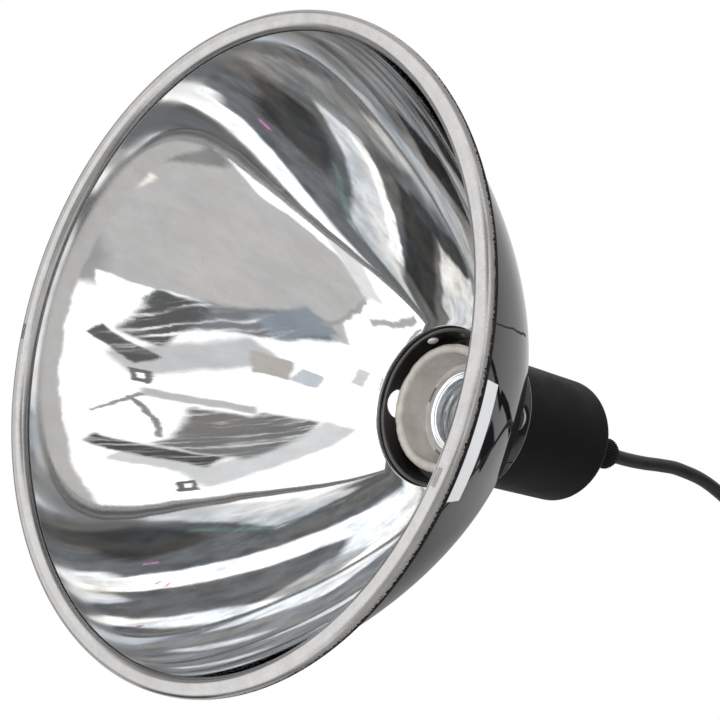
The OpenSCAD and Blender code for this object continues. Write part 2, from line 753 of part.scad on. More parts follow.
module switch_cover() {
    window_l = rocker_l + 1.6;
    window_w = rocker_w + 0.8;
    ceiling = switch_top - switch_wall;
    ear_y = rocker_w / 2 + 0.8;
    color("#1d1d1f") at_switch() difference() {
        union() {
            difference() {
                translate([0, 0, switch_base_h]) linear_extrude(switch_cover_h) polygon(switch_outline(0));
                translate([0, 0, switch_base_h - 1]) linear_extrude(switch_cover_h - switch_wall + 1)
                    polygon(switch_outline(switch_wall));
            }
            for (s = [-1, 1]) {
                translate([-2.4, s > 0 ? ear_y : -ear_y - 2.2, rocker_z - 2.4]) cube([4.8, 2.2, ceiling - rocker_z + 3]);
                translate([s * 18, 0, switch_base_h]) cylinder(r = 3, h = ceiling - switch_base_h + 0.5);
            }
        }
        cord_mouths();
        translate([-window_l / 2, -window_w / 2, ceiling - 1]) cube([window_l, window_w, switch_wall + 2]);
        translate([0, 0, rocker_z]) rotate([90, 0, 0]) cylinder(r = rocker_pin_r + pin_fit, h = 20, center = true);
        for (s = [-1, 1]) translate([s * 18, 0, switch_base_h - 1]) cylinder(r = 1.1, h = 6);
    }
}

// Rocker, drawn switched off
module switch_rocker() {
    l = rocker_l / 2;
    color("#2a2a2c") at_switch() translate([0, 0, rocker_z]) rotate([0, -rocker_swing / 2, 0]) {
        translate([0, rocker_w / 2, 0]) rotate([90, 0, 0]) linear_extrude(rocker_w) polygon([
            [-l, 0.3], [-3, -2.4], [3, -2.4], [l, 0.3], [l, 3.3], [0, 2.3], [-l, 3.3]
        ]);
        translate([0, 2, 0]) rotate([90, 0, 0]) linear_extrude(4)
            polygon([[-2.4, -2], [-0.8, -rocker_nose], [0.8, -rocker_nose], [2.4, -2]]);
        rotate([90, 0, 0]) cylinder(r = rocker_pin_r, h = rocker_w + 2 * rocker_pin_l - 0.4, center = true);
    }
}

// Contact lever, drawn switched off
module switch_lever() {
    color("goldenrod") at_switch() translate([0, 0, lever_z]) rotate([0, lever_tilt, 0]) {
        translate([-lever_reach, -lever_w / 2, -lever_t / 2]) cube([2 * lever_reach, lever_w, lever_t]);
        rotate([90, 0, 0]) cylinder(r = lever_pin_r, h = lever_w + 3, center = true);
    }
}

module switch_contacts() {
    top = lever_z - lever_reach * sin(lever_tilt) - lever_t / 2 - 0.3;
    color("goldenrod") at_switch() for (s = [-1, 1])
        translate([s * (lever_reach - 0.5) - 1.5, -2, switch_wall]) cube([3, 4, top - switch_wall]);
}

module switch_wires() {
    start = switch_l / 2 - switch_bite - 0.1;
    floor_z = switch_wall + lead_d / 2 + 0.2;
    side_y = 7.6;
    at_switch() {
        color("white") tube(smooth_path([
            [-start, 1.3, switch_axis_z], [-start + 3, 1.5, switch_axis_z], [-22, 5, floor_z + 1.5],
            [-17, side_y, floor_z], [0, side_y, floor_z], [17, side_y, floor_z], [22, 5, floor_z + 1.5],
            [start - 3, 1.5, switch_axis_z], [start, 1.3, switch_axis_z]
        ], 2), lead_d, 8);
        for (s = [-1, 1]) color("black") tube(smooth_path([
            [s * start, -1.3, switch_axis_z], [s * (start - 3), -1.5, switch_axis_z], [s * 22, -5, floor_z + 1.5],
            [s * 17, -side_y, floor_z], [s * 13, -side_y, floor_z], [s * (lever_reach + 1.4), -6.4, floor_z],
            [s * (lever_reach - 0.5), -3.6, floor_z], [s * (lever_reach - 0.5), -2.15, floor_z]
        ], 2), lead_d, 8);
    }
}

module switch_screws() {
    color("silver") at_switch() for (s = [-1, 1]) translate([s * 18, 0, 0.6]) {
        cylinder(r = 2.4, h = 1.4);
        cylinder(r = 1.05, h = switch_base_h + 3.5);
    }
}

// Plug
module at_plug() {
    translate([plug_x, plug_y, 0]) rotate([0, 0, plug_turn]) children();
}

module plug_body() {
    w = plug_w / 2;
    color("#1a1a1c") at_plug() difference() {
        union() {
            linear_extrude(plug_h) polygon([
                [0, -5.5], [3, -8], [9, 1 - w], [14, -w], [plug_l, -w],
                [plug_l, w], [14, w], [9, w - 1], [3, 8], [0, 5.5]
            ]);
            translate([-plug_sleeve_l, 0, plug_axis_z]) rotate([0, 90, 0])
                cylinder(r1 = cord_r + 0.9, r2 = plug_sleeve_r, h = plug_sleeve_l + 1);
        }
        translate([-plug_sleeve_l - 1, 0, plug_axis_z]) rotate([0, 90, 0]) cylinder(r = cord_r, h = plug_bite + 1);
        for (s = [-1, 1]) translate([plug_l - blade_root, s * blade_span / 2 - blade_t / 2, plug_axis_z - blade_w / 2])
            cube([blade_root + 1, blade_t, blade_w]);
    }
}

module plug_blades() {
    color("gold") at_plug() for (s = [-1, 1]) difference() {
        translate([plug_l - blade_root, s * blade_span / 2 - blade_t / 2, plug_axis_z - blade_w / 2])
            cube([blade_root + blade_l, blade_t, blade_w]);
        translate([plug_l + blade_l - 4.5, 0, plug_axis_z]) rotate([90, 0, 0])
            cylinder(r = blade_hole_r, h = 4 * blade_span, center = true);
    }
}

reflector();
cap();
neck_rivets();
socket_body();
socket_gasket();
screw_shell();
centre_post();
contact_tongue();
live_terminal();
neutral_terminal();
terminal_screws();
bracket();
bracket_screws();
stem();
stem_nuts();
gland_foot();
gland_nut();
cord_grommet();
cord_entry();
live_lead();
neutral_lead();
cord_free();
cord_to_coil();
cord_coil();
cord_to_plug();
cord_tie();
switch_base();
switch_cover();
switch_rocker();
switch_lever();
switch_contacts();
switch_wires();
switch_screws();
plug_body();
plug_blades();
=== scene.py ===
"""Dresses the dome lamp: mirror bowl, cap, porcelain socket, gland, cord, line switch and plug."""

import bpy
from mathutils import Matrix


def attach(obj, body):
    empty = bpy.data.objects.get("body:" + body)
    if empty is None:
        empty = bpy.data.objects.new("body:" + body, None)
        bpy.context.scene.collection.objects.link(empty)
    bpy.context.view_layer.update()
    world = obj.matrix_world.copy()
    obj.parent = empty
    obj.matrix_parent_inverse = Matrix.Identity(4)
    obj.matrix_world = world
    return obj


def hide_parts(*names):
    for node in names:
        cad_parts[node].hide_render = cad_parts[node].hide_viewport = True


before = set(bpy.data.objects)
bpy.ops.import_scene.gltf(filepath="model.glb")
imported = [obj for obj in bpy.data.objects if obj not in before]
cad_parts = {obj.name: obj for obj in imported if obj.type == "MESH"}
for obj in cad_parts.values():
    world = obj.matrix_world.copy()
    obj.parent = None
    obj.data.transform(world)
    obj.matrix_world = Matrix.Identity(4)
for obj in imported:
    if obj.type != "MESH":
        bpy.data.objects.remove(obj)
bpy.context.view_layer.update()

import logging
import math
from contextlib import contextmanager
from dataclasses import dataclass
from enum import Enum
from typing import Callable, Iterable, Iterator, Sequence

import bmesh
import bpy
from mathutils import Matrix, Vector, noise

log = logging.getLogger("dome_lamp")
Piece = bpy.types.Object
Out = bpy.types.NodeSocket
Point = tuple[float, float]
Span = tuple[float, float]
Triple = tuple[float, float, float]
Section = tuple[float, float, float, float]
Colour = tuple[float, float, float, float]


# Sizes and places that several pieces share

MM = 0.001
LAMP = "lamp"
CORD_D = 5.5 * MM
CORE_D = 2.2 * MM
GLAND_TOP = 207.953 * MM
NECK_TOP = 119.7 * MM
SWITCH = (0.155, 0.0094, 0.0085)
SWITCH_TURN = 70.0
PLUG = (0.252675, 0.003, 0.008)

# Limits: points this close are one, edges this close touch, and faces bent less than this are one flat face

WELD = 0.001 * MM
TOUCH = 0.01 * MM
FLAT = 0.5


# Small modelling helpers

def deselect() -> None:
    """Leaves nothing selected and no mesh in edit mode."""
    if bpy.context.object and bpy.context.object.mode != "OBJECT":
        bpy.ops.object.mode_set(mode="OBJECT")
    bpy.ops.object.select_all(action="DESELECT")


def pick(piece: Piece) -> None:
    """Makes one piece the only selected and active one.

    Args:
        piece: The object to pick.
    """
    deselect()
    piece.select_set(True)
    bpy.context.view_layer.objects.active = piece


@contextmanager
def editing(piece: Piece) -> Iterator[None]:
    """Holds a piece in edit mode with all of it selected, and puts it back in object mode.

    Args:
        piece: The object to edit.

    Yields:
        Once, while the piece is in edit mode.
    """
    pick(piece)
    bpy.ops.object.mode_set(mode="EDIT")
    bpy.ops.mesh.select_all(action="SELECT")
    yield
    bpy.ops.object.mode_set(mode="OBJECT")


def face_outwards(piece: Piece) -> None:
    """Turns a piece's faces outwards."""
    with editing(piece):
        bpy.ops.mesh.normals_make_consistent(inside=False)


def settle(piece: Piece) -> None:
    """Moves a piece's place, turn and scale into its mesh."""
    pick(piece)
    bpy.ops.object.transform_apply(location=True, rotation=True, scale=True)


def apply_modifier(piece: Piece, kind: str, **settings: object) -> None:
    """Adds a modifier to a piece and applies it.

    Args:
        piece: The object to change.
        kind: The modifier's type.
        settings: Values of the modifier.
    """
    pick(piece)
    modifier = piece.modifiers.new(kind.title(), kind)
    for name, value in settings.items():
        setattr(modifier, name, value)
    bpy.ops.object.modifier_apply(modifier=modifier.name)


def ease(piece: Piece, width: float, angle: float = 38.0) -> None:
    """Takes the edge off a piece's corners, by a width, where its faces meet at more than an angle."""
    apply_modifier(piece, "BEVEL", width=width, segments=2, limit_method="ANGLE",
                   angle_limit=math.radians(angle), use_clamp_overlap=True)


def smooth(piece: Piece, angle: float = 35.0) -> None:
    """Shades a piece smooth where its faces meet at less than an angle."""
    pick(piece)
    bpy.ops.object.shade_smooth_by_angle(angle=math.radians(angle))


def new_object(name: str, data: bpy.types.ID) -> Piece:
    """Puts data into the scene as an object.

    Args:
        name: Name of the new object.
        data: A mesh, curve, camera or light.

    Returns:
        The new object.
    """
    piece = bpy.data.objects.new(name, data)
    bpy.context.scene.collection.objects.link(piece)
    return piece


def round_axis(turn: float, radius: float, height: float) -> Vector:
    """A point round the lamp's axis, from its direction in degrees, distance and height."""
    return Vector((radius * math.cos(math.radians(turn)), radius * math.sin(math.radians(turn)), height))


def from_axis(place: Vector) -> float:
    """How far a place is from the lamp's axis."""
    return math.hypot(place.x, place.y)


def spread(vertex: bpy.types.MeshVertex, out: float) -> None:
    """Moves a vertex away from the lamp's axis.

    Args:
        vertex: The vertex.
        out: How far, or how far inwards where it is below zero.
    """
    radius = from_axis(vertex.co)
    vertex.co.x *= (radius + out) / radius
    vertex.co.y *= (radius + out) / radius


def upright(along: Vector) -> Matrix:
    """The turn that lays an upright piece along a direction."""
    return along.to_track_quat("Z", "Y").to_matrix().to_4x4()


def turned(name: str, profile: Sequence[Point], steps: int = 128) -> Piece:
    """Turns a profile round the lamp's axis, as on a spinning lathe.

    Args:
        name: Name of the new piece.
        profile: Radius and height of each point. A closed wall ends on its first point.
        steps: Number of steps round the axis.

    Returns:
        The new object.
    """
    deselect()
    bpy.ops.mesh.primitive_plane_add(size=MM, location=(0, 0, 0))
    piece = bpy.context.object
    piece.name = name
    with editing(piece):
        bpy.ops.mesh.merge(type="CENTER")
        bpy.ops.transform.translate(value=(profile[0][0], 0, profile[0][1]))
        for (r0, z0), (r1, z1) in zip(profile, profile[1:]):
            bpy.ops.mesh.extrude_vertices_move(TRANSFORM_OT_translate={"value": (r1 - r0, 0, z1 - z0)})
        bpy.ops.mesh.select_all(action="SELECT")
        bpy.ops.mesh.spin(steps=steps, angle=2 * math.pi, center=(0, 0, 0), axis=(0, 0, 1))
        bpy.ops.mesh.select_all(action="SELECT")
        bpy.ops.mesh.remove_doubles(threshold=WELD)
        bpy.ops.mesh.normals_make_consistent(inside=False)
    return piece


def arc(centre: Point, radius: float, start: float, end: float, steps: int) -> list[Point]:
    """Points of an arc between two angles in degrees, both ends included."""
    turns = [math.radians(start + (end - start) * i / steps) for i in range(steps + 1)]
    return [(centre[0] + radius * math.cos(t), centre[1] + radius * math.sin(t)) for t in turns]


def eased(points: Sequence[Sequence[float]], steps: int = 4) -> list[Point]:
    """A closed line, rounded at the corners that ask for it.

    Args:
        points: Radius and height of each corner, and for a round one how far each way its rounding runs.
        steps: Number of steps of each rounding.

    Returns:
        The line's points, the first one again at the end.
    """
    line = []
    for i, (r, z, *reach) in enumerate(points):
        if not reach:
            line.append((r, z))
            continue
        here = Vector((r, z))
        before = here + (Vector(points[i - 1][:2]) - here).normalized() * reach[0]
        after = here + (Vector(points[(i + 1) % len(points)][:2]) - here).normalized() * reach[0]
        for k in range(steps + 1):
            t = k / steps
            spot = before * (1 - t) ** 2 + here * 2 * t * (1 - t) + after * t * t
            line.append((spot.x, spot.y))
    line.append(line[0])
    return line


def cut(piece: Piece, cutters: Iterable[Piece]) -> None:
    """Cuts pieces away from another and deletes them.

    Args:
        piece: The object that is cut.
        cutters: The objects that cut it.
    """
    for cutter in cutters:
        apply_modifier(piece, "BOOLEAN", operation="DIFFERENCE", solver="EXACT", object=cutter)
        bpy.data.objects.remove(cutter)


def rod(radius: float, depth: float, place: Vector, along: Vector) -> Piece:
    """A plain round rod that cuts a hole.

    Args:
        radius: The rod's radius.
        depth: The rod's length.
        place: The rod's middle.
        along: The rod's direction.

    Returns:
        The new object, settled.
    """
    deselect()
    bpy.ops.mesh.primitive_cylinder_add(vertices=48, radius=radius, depth=depth)
    piece = bpy.context.object
    piece.matrix_world = Matrix.Translation(place) @ upright(along)
    settle(piece)
    return piece


def joined(name: str, parts: Sequence[Piece]) -> Piece:
    """Joins parts of one piece.

    Args:
        name: The piece's name.
        parts: The parts.

    Returns:
        The joined object.
    """
    pick(parts[0])
    for part in parts[1:]:
        part.select_set(True)
    bpy.ops.object.join()
    parts[0].name = name
    return parts[0]


# Node trees

class Tree:
    """A node tree that is built call by call."""

    def __init__(self, tree: bpy.types.NodeTree) -> None:
        """Keeps the tree."""
        self.tree = tree

    def fill(self, node: bpy.types.Node, values: dict) -> bpy.types.Node:
        """Sets a node's inputs, or links them.

        Args:
            node: The node.
            values: Inputs by name or number, each a value or a socket to link from.

        Returns:
            The same node.
        """
        for name, value in values.items():
            if isinstance(value, Out):
                self.tree.links.new(value, node.inputs[name])
            else:
                node.inputs[name].default_value = value
        return node

    def add(self, kind: str, values: dict | None = None, **settings: object) -> bpy.types.Node:
        """Adds a node.

        Args:
            kind: The node's type, without its ShaderNode prefix.
            values: Its inputs, as fill takes them.
            settings: Properties of the node.

        Returns:
            The new node.
        """
        node = self.tree.nodes.new(kind if kind.startswith("Node") else f"ShaderNode{kind}")
        for name, value in settings.items():
            setattr(node, name, value)
        return self.fill(node, values or {})

    def math(self, operation: str, *values: object) -> Out:
        """A sum of numbers or sockets."""
        return self.add("Math", dict(enumerate(values)), operation=operation).outputs[0]

    def times(self, *values: object) -> Out:
        """The product of two numbers or sockets."""
        return self.math("MULTIPLY", *values)

    def plus(self, *values: object) -> Out:
        """Two numbers or sockets added up."""
        return self.math("ADD", *values)

    def minus(self, *values: object) -> Out:
        """The first number or socket less the second."""
        return self.math("SUBTRACT", *values)

    def vector(self, operation: str, first: object, second: object) -> Out:
        """A sum of two vectors, or of a vector and the number that scales it."""
        other = "Scale" if operation == "SCALE" else 1
        return self.add("VectorMath", {0: first, other: second}, operation=operation).outputs[0]

    def noise(self, place: Out, scale: object, detail: float, roughness: float = 0.5) -> bpy.types.Node:
        """A noise texture's node."""
        values = {"Vector": place, "Scale": scale, "Detail": detail, "Roughness": roughness}
        return self.add("TexNoise", values)

    def mix(self, factor: object, first: object, second: object) -> Out:
        """Mixes two colours by the share of the second."""
        return self.add("Mix", {0: factor, 6: first, 7: second}, data_type="RGBA").outputs[2]

    def ramp(self, value: object, low: object, high: object, start: float = 0.0, end: float = 1.0) -> Out:
        """Maps the range from low to high smoothly onto the one from start to end."""
        values = {"Value": value, "From Min": low, "From Max": high, "To Min": start, "To Max": end}
        return self.add("MapRange", values, interpolation_type="SMOOTHSTEP").outputs[0]

    def bump(self, height: Out, depth: float, **over: Out) -> Out:
        """A bump of a depth in millimetres, over another Normal if one is given."""
        values = {"Height": height, "Distance": depth * MM, "Strength": 1.0, **over}
        return self.add("Bump", values).outputs[0]

    def radius(self, split: bpy.types.Node) -> Out:
        """The distance from the lamp's axis of a place that is split into X, Y and Z."""
        squares = [self.times(split.outputs[axis], split.outputs[axis]) for axis in "XY"]
        return self.math("SQRT", self.plus(*squares))


def new_group(name: str, inputs: dict[str, float | None],
              outputs: Sequence[str]) -> tuple[Tree, bpy.types.NodeOutputs, bpy.types.Node]:
    """Starts a node group with its sockets.

    Args:
        name: The group's name.
        inputs: Socket names with a default value, or None for a vector.
        outputs: Names of the value outputs.

    Returns:
        The tree, the sockets that it starts from, and its output node.
    """
    group = bpy.data.node_groups.new(name, "ShaderNodeTree")
    for socket, default in inputs.items():
        kind = "NodeSocketVector" if default is None else "NodeSocketFloat"
        made = group.interface.new_socket(name=socket, in_out="INPUT", socket_type=kind)
        if default is not None:
            made.default_value = default
    for socket in outputs:
        group.interface.new_socket(name=socket, in_out="OUTPUT", socket_type="NodeSocketFloat")
    tree = Tree(group)
    return tree, tree.add("NodeGroupInput").outputs, tree.add("NodeGroupOutput")


def grey(level: float, warmth: float = 0.0) -> Colour:
    """A near-grey in linear light, from how bright a screen shows it and how warm it is."""
    return tuple(max(level + shift, 0.0) ** 2.2 for shift in (warmth, 0.0, -warmth)) + (1.0,)


# Sizes inside the shared effects

SCRATCH_LEAN = (1.0, 0.12, 0.35)
SCRATCH_WIDTH = 0.012
SCRATCH_BEND = 40.0
SCRATCH_PATCH = 25.0
RING_FLARE = 0.8
RING_SWAY = 0.02
RING_PATCH = 35.0


class Effect(Enum):
    """The effects that several finishes share."""

    GRAIN = "grain"
    SCUFFS = "scuffs"
    RINGS = "rings"


class Effects:
    """Node groups of the shared effects, each made when it is first used."""

    def __init__(self) -> None:
        """Starts with no group made."""
        self.groups: dict[Effect, bpy.types.NodeTree] = {}
        self.makers = {Effect.GRAIN: self.make_grain, Effect.SCUFFS: self.make_scuffs,
                       Effect.RINGS: self.make_rings}

    def use(self, tree: Tree, effect: Effect, **values: object) -> bpy.types.NodeOutputs:
        """Places an effect in a material.

        Args:
            tree: The material's tree.
            effect: The effect.
            values: Its inputs.

        Returns:
            The effect's outputs.
        """
        if effect not in self.groups:
            self.groups[effect] = self.makers[effect](effect.value)
        return tree.add("Group", values, node_tree=self.groups[effect]).outputs

    def make_grain(self, name: str) -> bpy.types.NodeTree:
        """Fine all-over grain and a slow drift, both from 0 to 1.

        Args:
            name: The group's name.

        Returns:
            The group.
        """
        sockets = {"Place": None, "Size": 1200.0, "Drift": 60.0}
        tree, source, result = new_group(name, sockets, ("Fine", "Slow"))
        for socket, scale, detail in (("Fine", "Size", 3.0), ("Slow", "Drift", 4.0)):
            made = tree.noise(source["Place"], source[scale], detail, 0.6)
            tree.fill(result, {socket: made.outputs["Fac"]})
        return tree.tree

    def make_scuffs(self, name: str) -> bpy.types.NodeTree:
        """Sparse thin scratches: Mask is 1 on a scratch.

        Args:
            name: The group's name.

        Returns:
            The group.
        """
        tree, source, result = new_group(name, {"Place": None, "Size": 90.0, "Share": 0.5}, ("Mask",))
        bent = tree.noise(source["Place"], SCRATCH_BEND, 2.0)
        place = tree.vector("ADD", source["Place"], bent.outputs["Color"])
        stretch = tree.vector("MULTIPLY", place, SCRATCH_LEAN)
        cells = {"Vector": stretch, "Scale": source["Size"]}
        lines = tree.add("TexVoronoi", cells, feature="DISTANCE_TO_EDGE")
        thin = tree.ramp(lines.outputs["Distance"], 0.0, SCRATCH_WIDTH, 1.0, 0.0)
        where = tree.noise(source["Place"], SCRATCH_PATCH, 1.0)
        shown = tree.math("GREATER_THAN", where.outputs["Fac"], source["Share"])
        tree.fill(result, {"Mask": tree.times(thin, shown)})
        return tree.tree

    def make_rings(self, name: str) -> bpy.types.NodeTree:
        """Fine lines round the lamp's axis, as spinning leaves them: Height from 0 to 1.

        Args:
            name: The group's name.

        Returns:
            The group.
        """
        tree, source, result = new_group(name, {"Place": None, "Size": 900.0, "Jitter": 0.3}, ("Height",))
        split = tree.add("SeparateXYZ", {0: source["Place"]})
        along = tree.minus(split.outputs["Z"], tree.times(tree.radius(split), RING_FLARE))
        sway = {new: tree.times(split.outputs[old], RING_SWAY) for new, old in (("Y", "X"), ("Z", "Y"))}
        place = tree.add("CombineXYZ", {"X": along, **sway})
        lines = tree.noise(place.outputs[0], source["Size"], 4.0, 0.65)
        rough = tree.noise(source["Place"], RING_PATCH, 2.0)
        drift = tree.times(rough.outputs["Fac"], source["Jitter"])
        tree.fill(result, {"Height": tree.plus(lines.outputs["Fac"], drift)})
        return tree.tree


EFFECTS = Effects()


# Finishes

DRIFT = (0.3, 0.7)
SCUFF_TONE = 0.6
SCUFF_ROUGH = 0.15
SCUFF_LIFT = 0.02


@dataclass(frozen=True)
class Finish:
    """A finish with grain, uneven tone and uneven gloss."""

    name: str
    slot: str
    colour: Triple
    roughness: float = 0.5
    metallic: float = 0.0
    tone: float = 0.15
    gloss: float = 0.15
    grain: float = 1200.0
    drift: float = 60.0
    depth: float = 0.02
    scuffs: float = 0.0
    specular: float = 0.5
    mark: float = 1.6

    def material(self) -> bpy.types.Material:
        """The finish's material, made once.

        Returns:
            The material.
        """
        made = bpy.data.materials.get(self.name)
        if made:
            return made
        made = bpy.data.materials.new(self.name)
        made.use_nodes = True
        tree = Tree(made.node_tree)
        shader = made.node_tree.nodes["Principled BSDF"]
        tree.fill(shader, {"Metallic": self.metallic, "Specular IOR Level": self.specular})
        self.dress(tree, shader, tree.add("TexCoord").outputs["Object"])
        return made

    def scaled(self, share: float) -> Colour:
        """The finish's colour, darker or lighter by a share."""
        return tuple(min(c * share, 1.0) for c in self.colour) + (1.0,)

    def use_grain(self, tree: Tree, place: Out) -> bpy.types.NodeOutputs:
        """The grain at the finish's own sizes."""
        return EFFECTS.use(tree, Effect.GRAIN, Place=place, Size=self.grain, Drift=self.drift)

    def use_scuffs(self, tree: Tree, place: Out) -> Out:
        """The mask of the finish's scratches."""
        return EFFECTS.use(tree, Effect.SCUFFS, Place=place, Share=1 - self.scuffs)["Mask"]

    def dress(self, tree: Tree, shader: bpy.types.Node, place: Out) -> None:
        """Links the finish's effects to its shader.

        Args:
            tree: The material's tree.
            shader: The material's Principled BSDF.
            place: The place on the piece.
        """
        grain = self.use_grain(tree, place)
        slow = grain["Slow"]
        colour = tree.mix(tree.ramp(slow, *DRIFT), self.scaled(1 - self.tone), self.scaled(1 + self.tone))
        rough = tree.ramp(slow, *DRIFT, self.roughness * (1 - self.gloss),
                          min(self.roughness * (1 + self.gloss), 1.0))
        if self.scuffs > 0:
            mask = self.use_scuffs(tree, place)
            lift = SCUFF_LIFT if self.mark > 1 else 0.0
            marked = tuple(min(c * self.mark + lift, 1.0) for c in self.colour) + (1.0,)
            colour = tree.mix(tree.times(mask, SCUFF_TONE), colour, marked)
            rough = tree.plus(rough, tree.times(mask, SCUFF_ROUGH))
        bump = tree.bump(grain["Fine"], self.depth)
        tree.fill(shader, {"Base Color": colour, "Roughness": rough, "Normal": bump})


@dataclass(frozen=True)
class MirrorSheet(Finish):
    """Polished spun sheet: long soft waves, spinning lines and a duller band near the rim."""

    wave: float = 0.05
    wave_size: float = 32.0
    ring: float = 0.0012
    ring_size: float = 1100.0
    ring_jitter: float = 0.2
    smear: Span = (0.35, 0.75)
    brushed: float = 0.06
    brushed_z: Span = (16 * MM, 11 * MM)
    brushed_sway: float = 5 * MM
    scratch: Colour = (0.45, 0.45, 0.46, 1.0)
    scratch_tone: float = 0.35
    scratch_rough: float = 0.2

    def dress(self, tree: Tree, shader: bpy.types.Node, place: Out) -> None:
        """Links waves, rings, smears and scratches to the shader.

        Args:
            tree: The material's tree.
            shader: The material's Principled BSDF.
            place: The place on the piece.
        """
        rings = EFFECTS.use(tree, Effect.RINGS, Place=place, Size=self.ring_size, Jitter=self.ring_jitter)
        slow = self.use_grain(tree, place)["Slow"]
        mask = self.use_scuffs(tree, place)
        split = tree.add("SeparateXYZ", {0: place})
        height = tree.plus(split.outputs["Z"], tree.times(slow, self.brushed_sway))
        near_rim = tree.ramp(height, *self.brushed_z)
        rough = tree.ramp(slow, *self.smear, self.roughness, self.roughness * (1 + self.gloss))
        rough = tree.plus(rough, tree.times(near_rim, self.brushed))
        rough = tree.plus(rough, tree.times(mask, self.scratch_rough))
        colour = tree.mix(tree.ramp(slow, *DRIFT), self.scaled(1 - self.tone), self.scaled(1))
        colour = tree.mix(tree.times(mask, self.scratch_tone), colour, self.scratch)
        waves = tree.noise(place, self.wave_size, 2.0, 0.45)
        long = tree.bump(waves.outputs["Fac"], self.wave)
        fine = tree.bump(rings["Height"], self.ring, Normal=long)
        tree.fill(shader, {"Base Color": colour, "Roughness": rough, "Normal": fine})


@dataclass(frozen=True)
class RolledRim(Finish):
    """Satin rolled rim with a ragged edge of paint on its back, and a painted highlight that brightens its
    inner roll.
    """

    ring_r: float = 104.75 * MM
    bead_z: float = 3.0 * MM
    ring_size: float = 1500.0
    ring_jitter: float = 0.4
    ragged: float = 1.1
    paint: Colour = (0.008, 0.007, 0.006, 1)
    paint_rough: float = 0.6
    paint_edge: Span = (-0.16, -0.04)
    paint_from: float = 103.35 * MM
    speck: Colour = (0.74, 0.73, 0.715, 1)
    speck_edge: Span = (0.60, 0.72)
    speck_tone: float = 0.5
    # Painted highlight: a near-white colour laid over the rim's inner roll, where it meets the mirror, in
    # place of light
    inner: Colour = (0.94, 0.935, 0.93, 1)
    highlight_edge: Span = (3.0, 2.7)
    highlight_from: float = 1.6

    def dress(self, tree: Tree, shader: bpy.types.Node, place: Out) -> None:
        """Links the satin grain, the paint's edge and the painted highlight on the inner roll to the shader.

        Args:
            tree: The material's tree.
            shader: The material's Principled BSDF.
            place: The place on the piece.
        """
        rings = EFFECTS.use(tree, Effect.RINGS, Place=place, Size=self.ring_size, Jitter=self.ring_jitter)
        grain = self.use_grain(tree, place)
        split = tree.add("SeparateXYZ", {0: place})
        radius = tree.radius(split)
        rise = tree.minus(split.outputs["Z"], self.bead_z)
        turn = tree.math("ARCTAN2", rise, tree.minus(radius, self.ring_r))
        uneven = tree.times(tree.minus(grain["Fine"], 0.5), self.ragged)
        edge = tree.ramp(tree.plus(turn, uneven), *self.paint_edge)
        painted = tree.times(edge, tree.math("GREATER_THAN", radius, self.paint_from))
        bare = tree.mix(tree.ramp(grain["Slow"], *DRIFT), self.scaled(1 - self.tone), self.scaled(1))
        specks = tree.times(tree.ramp(grain["Fine"], *self.speck_edge), self.speck_tone)
        bare = tree.mix(specks, bare, self.speck)
        # Painted highlight: the inner roll, from where it turns inwards, gets the near-white colour instead
        # of the bare satin
        inwards = tree.math("GREATER_THAN", turn, self.highlight_from)
        painted_highlight = tree.times(tree.ramp(turn, *self.highlight_edge), inwards)
        bare = tree.mix(painted_highlight, bare, self.inner)
        tree.fill(shader, {
            "Base Color": tree.mix(painted, bare, self.paint),
            "Metallic": tree.minus(1.0, painted),
            "Roughness": tree.ramp(painted, 0, 1, self.roughness, self.paint_rough),
            "Normal": tree.bump(rings["Height"], self.depth),
        })


MIRROR = MirrorSheet("Mirror polish", "polished_aluminium", (0.90, 0.905, 0.91), roughness=0.02,
                     metallic=1.0, tone=0.04, gloss=1.5, grain=500.0, drift=45.0, scuffs=0.45)
RIM = RolledRim("Satin rim", "polished_aluminium", (0.52, 0.51, 0.50), roughness=0.24, metallic=1.0,
                tone=0.10, grain=1500.0, drift=180.0, depth=0.004, specular=0.1)
ENAMEL = Finish("Gloss enamel", "black_enamel", (0.009, 0.009, 0.010), roughness=0.03, tone=0.2, gloss=0.3,
                grain=260.0, drift=40.0, depth=0.002, scuffs=0.25)
BLACK = Finish("Matte black moulding", "black_plastic", (0.0034, 0.0033, 0.0033), tone=0.18, gloss=0.12,
               grain=2600.0, drift=90.0, depth=0.012, scuffs=0.35, specular=0.12)
GLOSS_BLACK = Finish("Gloss black moulding", "gloss_black_plastic", (0.018, 0.018, 0.02), roughness=0.18,
                     tone=0.1, gloss=0.2, grain=900.0, drift=80.0, depth=0.002, scuffs=0.3)
SKIRT = Finish("Worn gloss black", "black_plastic", (0.020, 0.018, 0.016), roughness=0.20, tone=0.5,
               gloss=0.4, grain=420.0, drift=70.0, depth=0.01, scuffs=0.35, specular=1.0)
PORCELAIN = Finish("Porcelain", "porcelain", (0.57, 0.53, 0.485), roughness=0.20, tone=0.12, gloss=0.25,
                   grain=700.0, drift=150.0, scuffs=0.30, specular=0.75, mark=0.45)
NICKEL = Finish("Nickel plate", "nickel_plate", (0.90, 0.93, 0.96), roughness=0.10, metallic=0.85,
                tone=0.05, gloss=0.4, grain=500.0, drift=120.0, depth=0.004)
BARE = Finish("Bare rivet metal", "polished_aluminium", (0.95, 0.94, 0.92), roughness=0.16, metallic=0.35,
              tone=0.05, gloss=0.3, grain=900.0, drift=300.0, depth=0.006)
ZINC = Finish("Zinc plate", "zinc_steel", (0.62, 0.63, 0.65), roughness=0.30, metallic=1.0, tone=0.12,
              gloss=0.3, grain=1500.0, drift=200.0, depth=0.006, scuffs=0.3)
BRASS = Finish("Bare brass", "brass", (0.72, 0.55, 0.27), roughness=0.28, metallic=1.0, tone=0.14,
               gloss=0.3, grain=1500.0, drift=200.0, depth=0.006, scuffs=0.3)
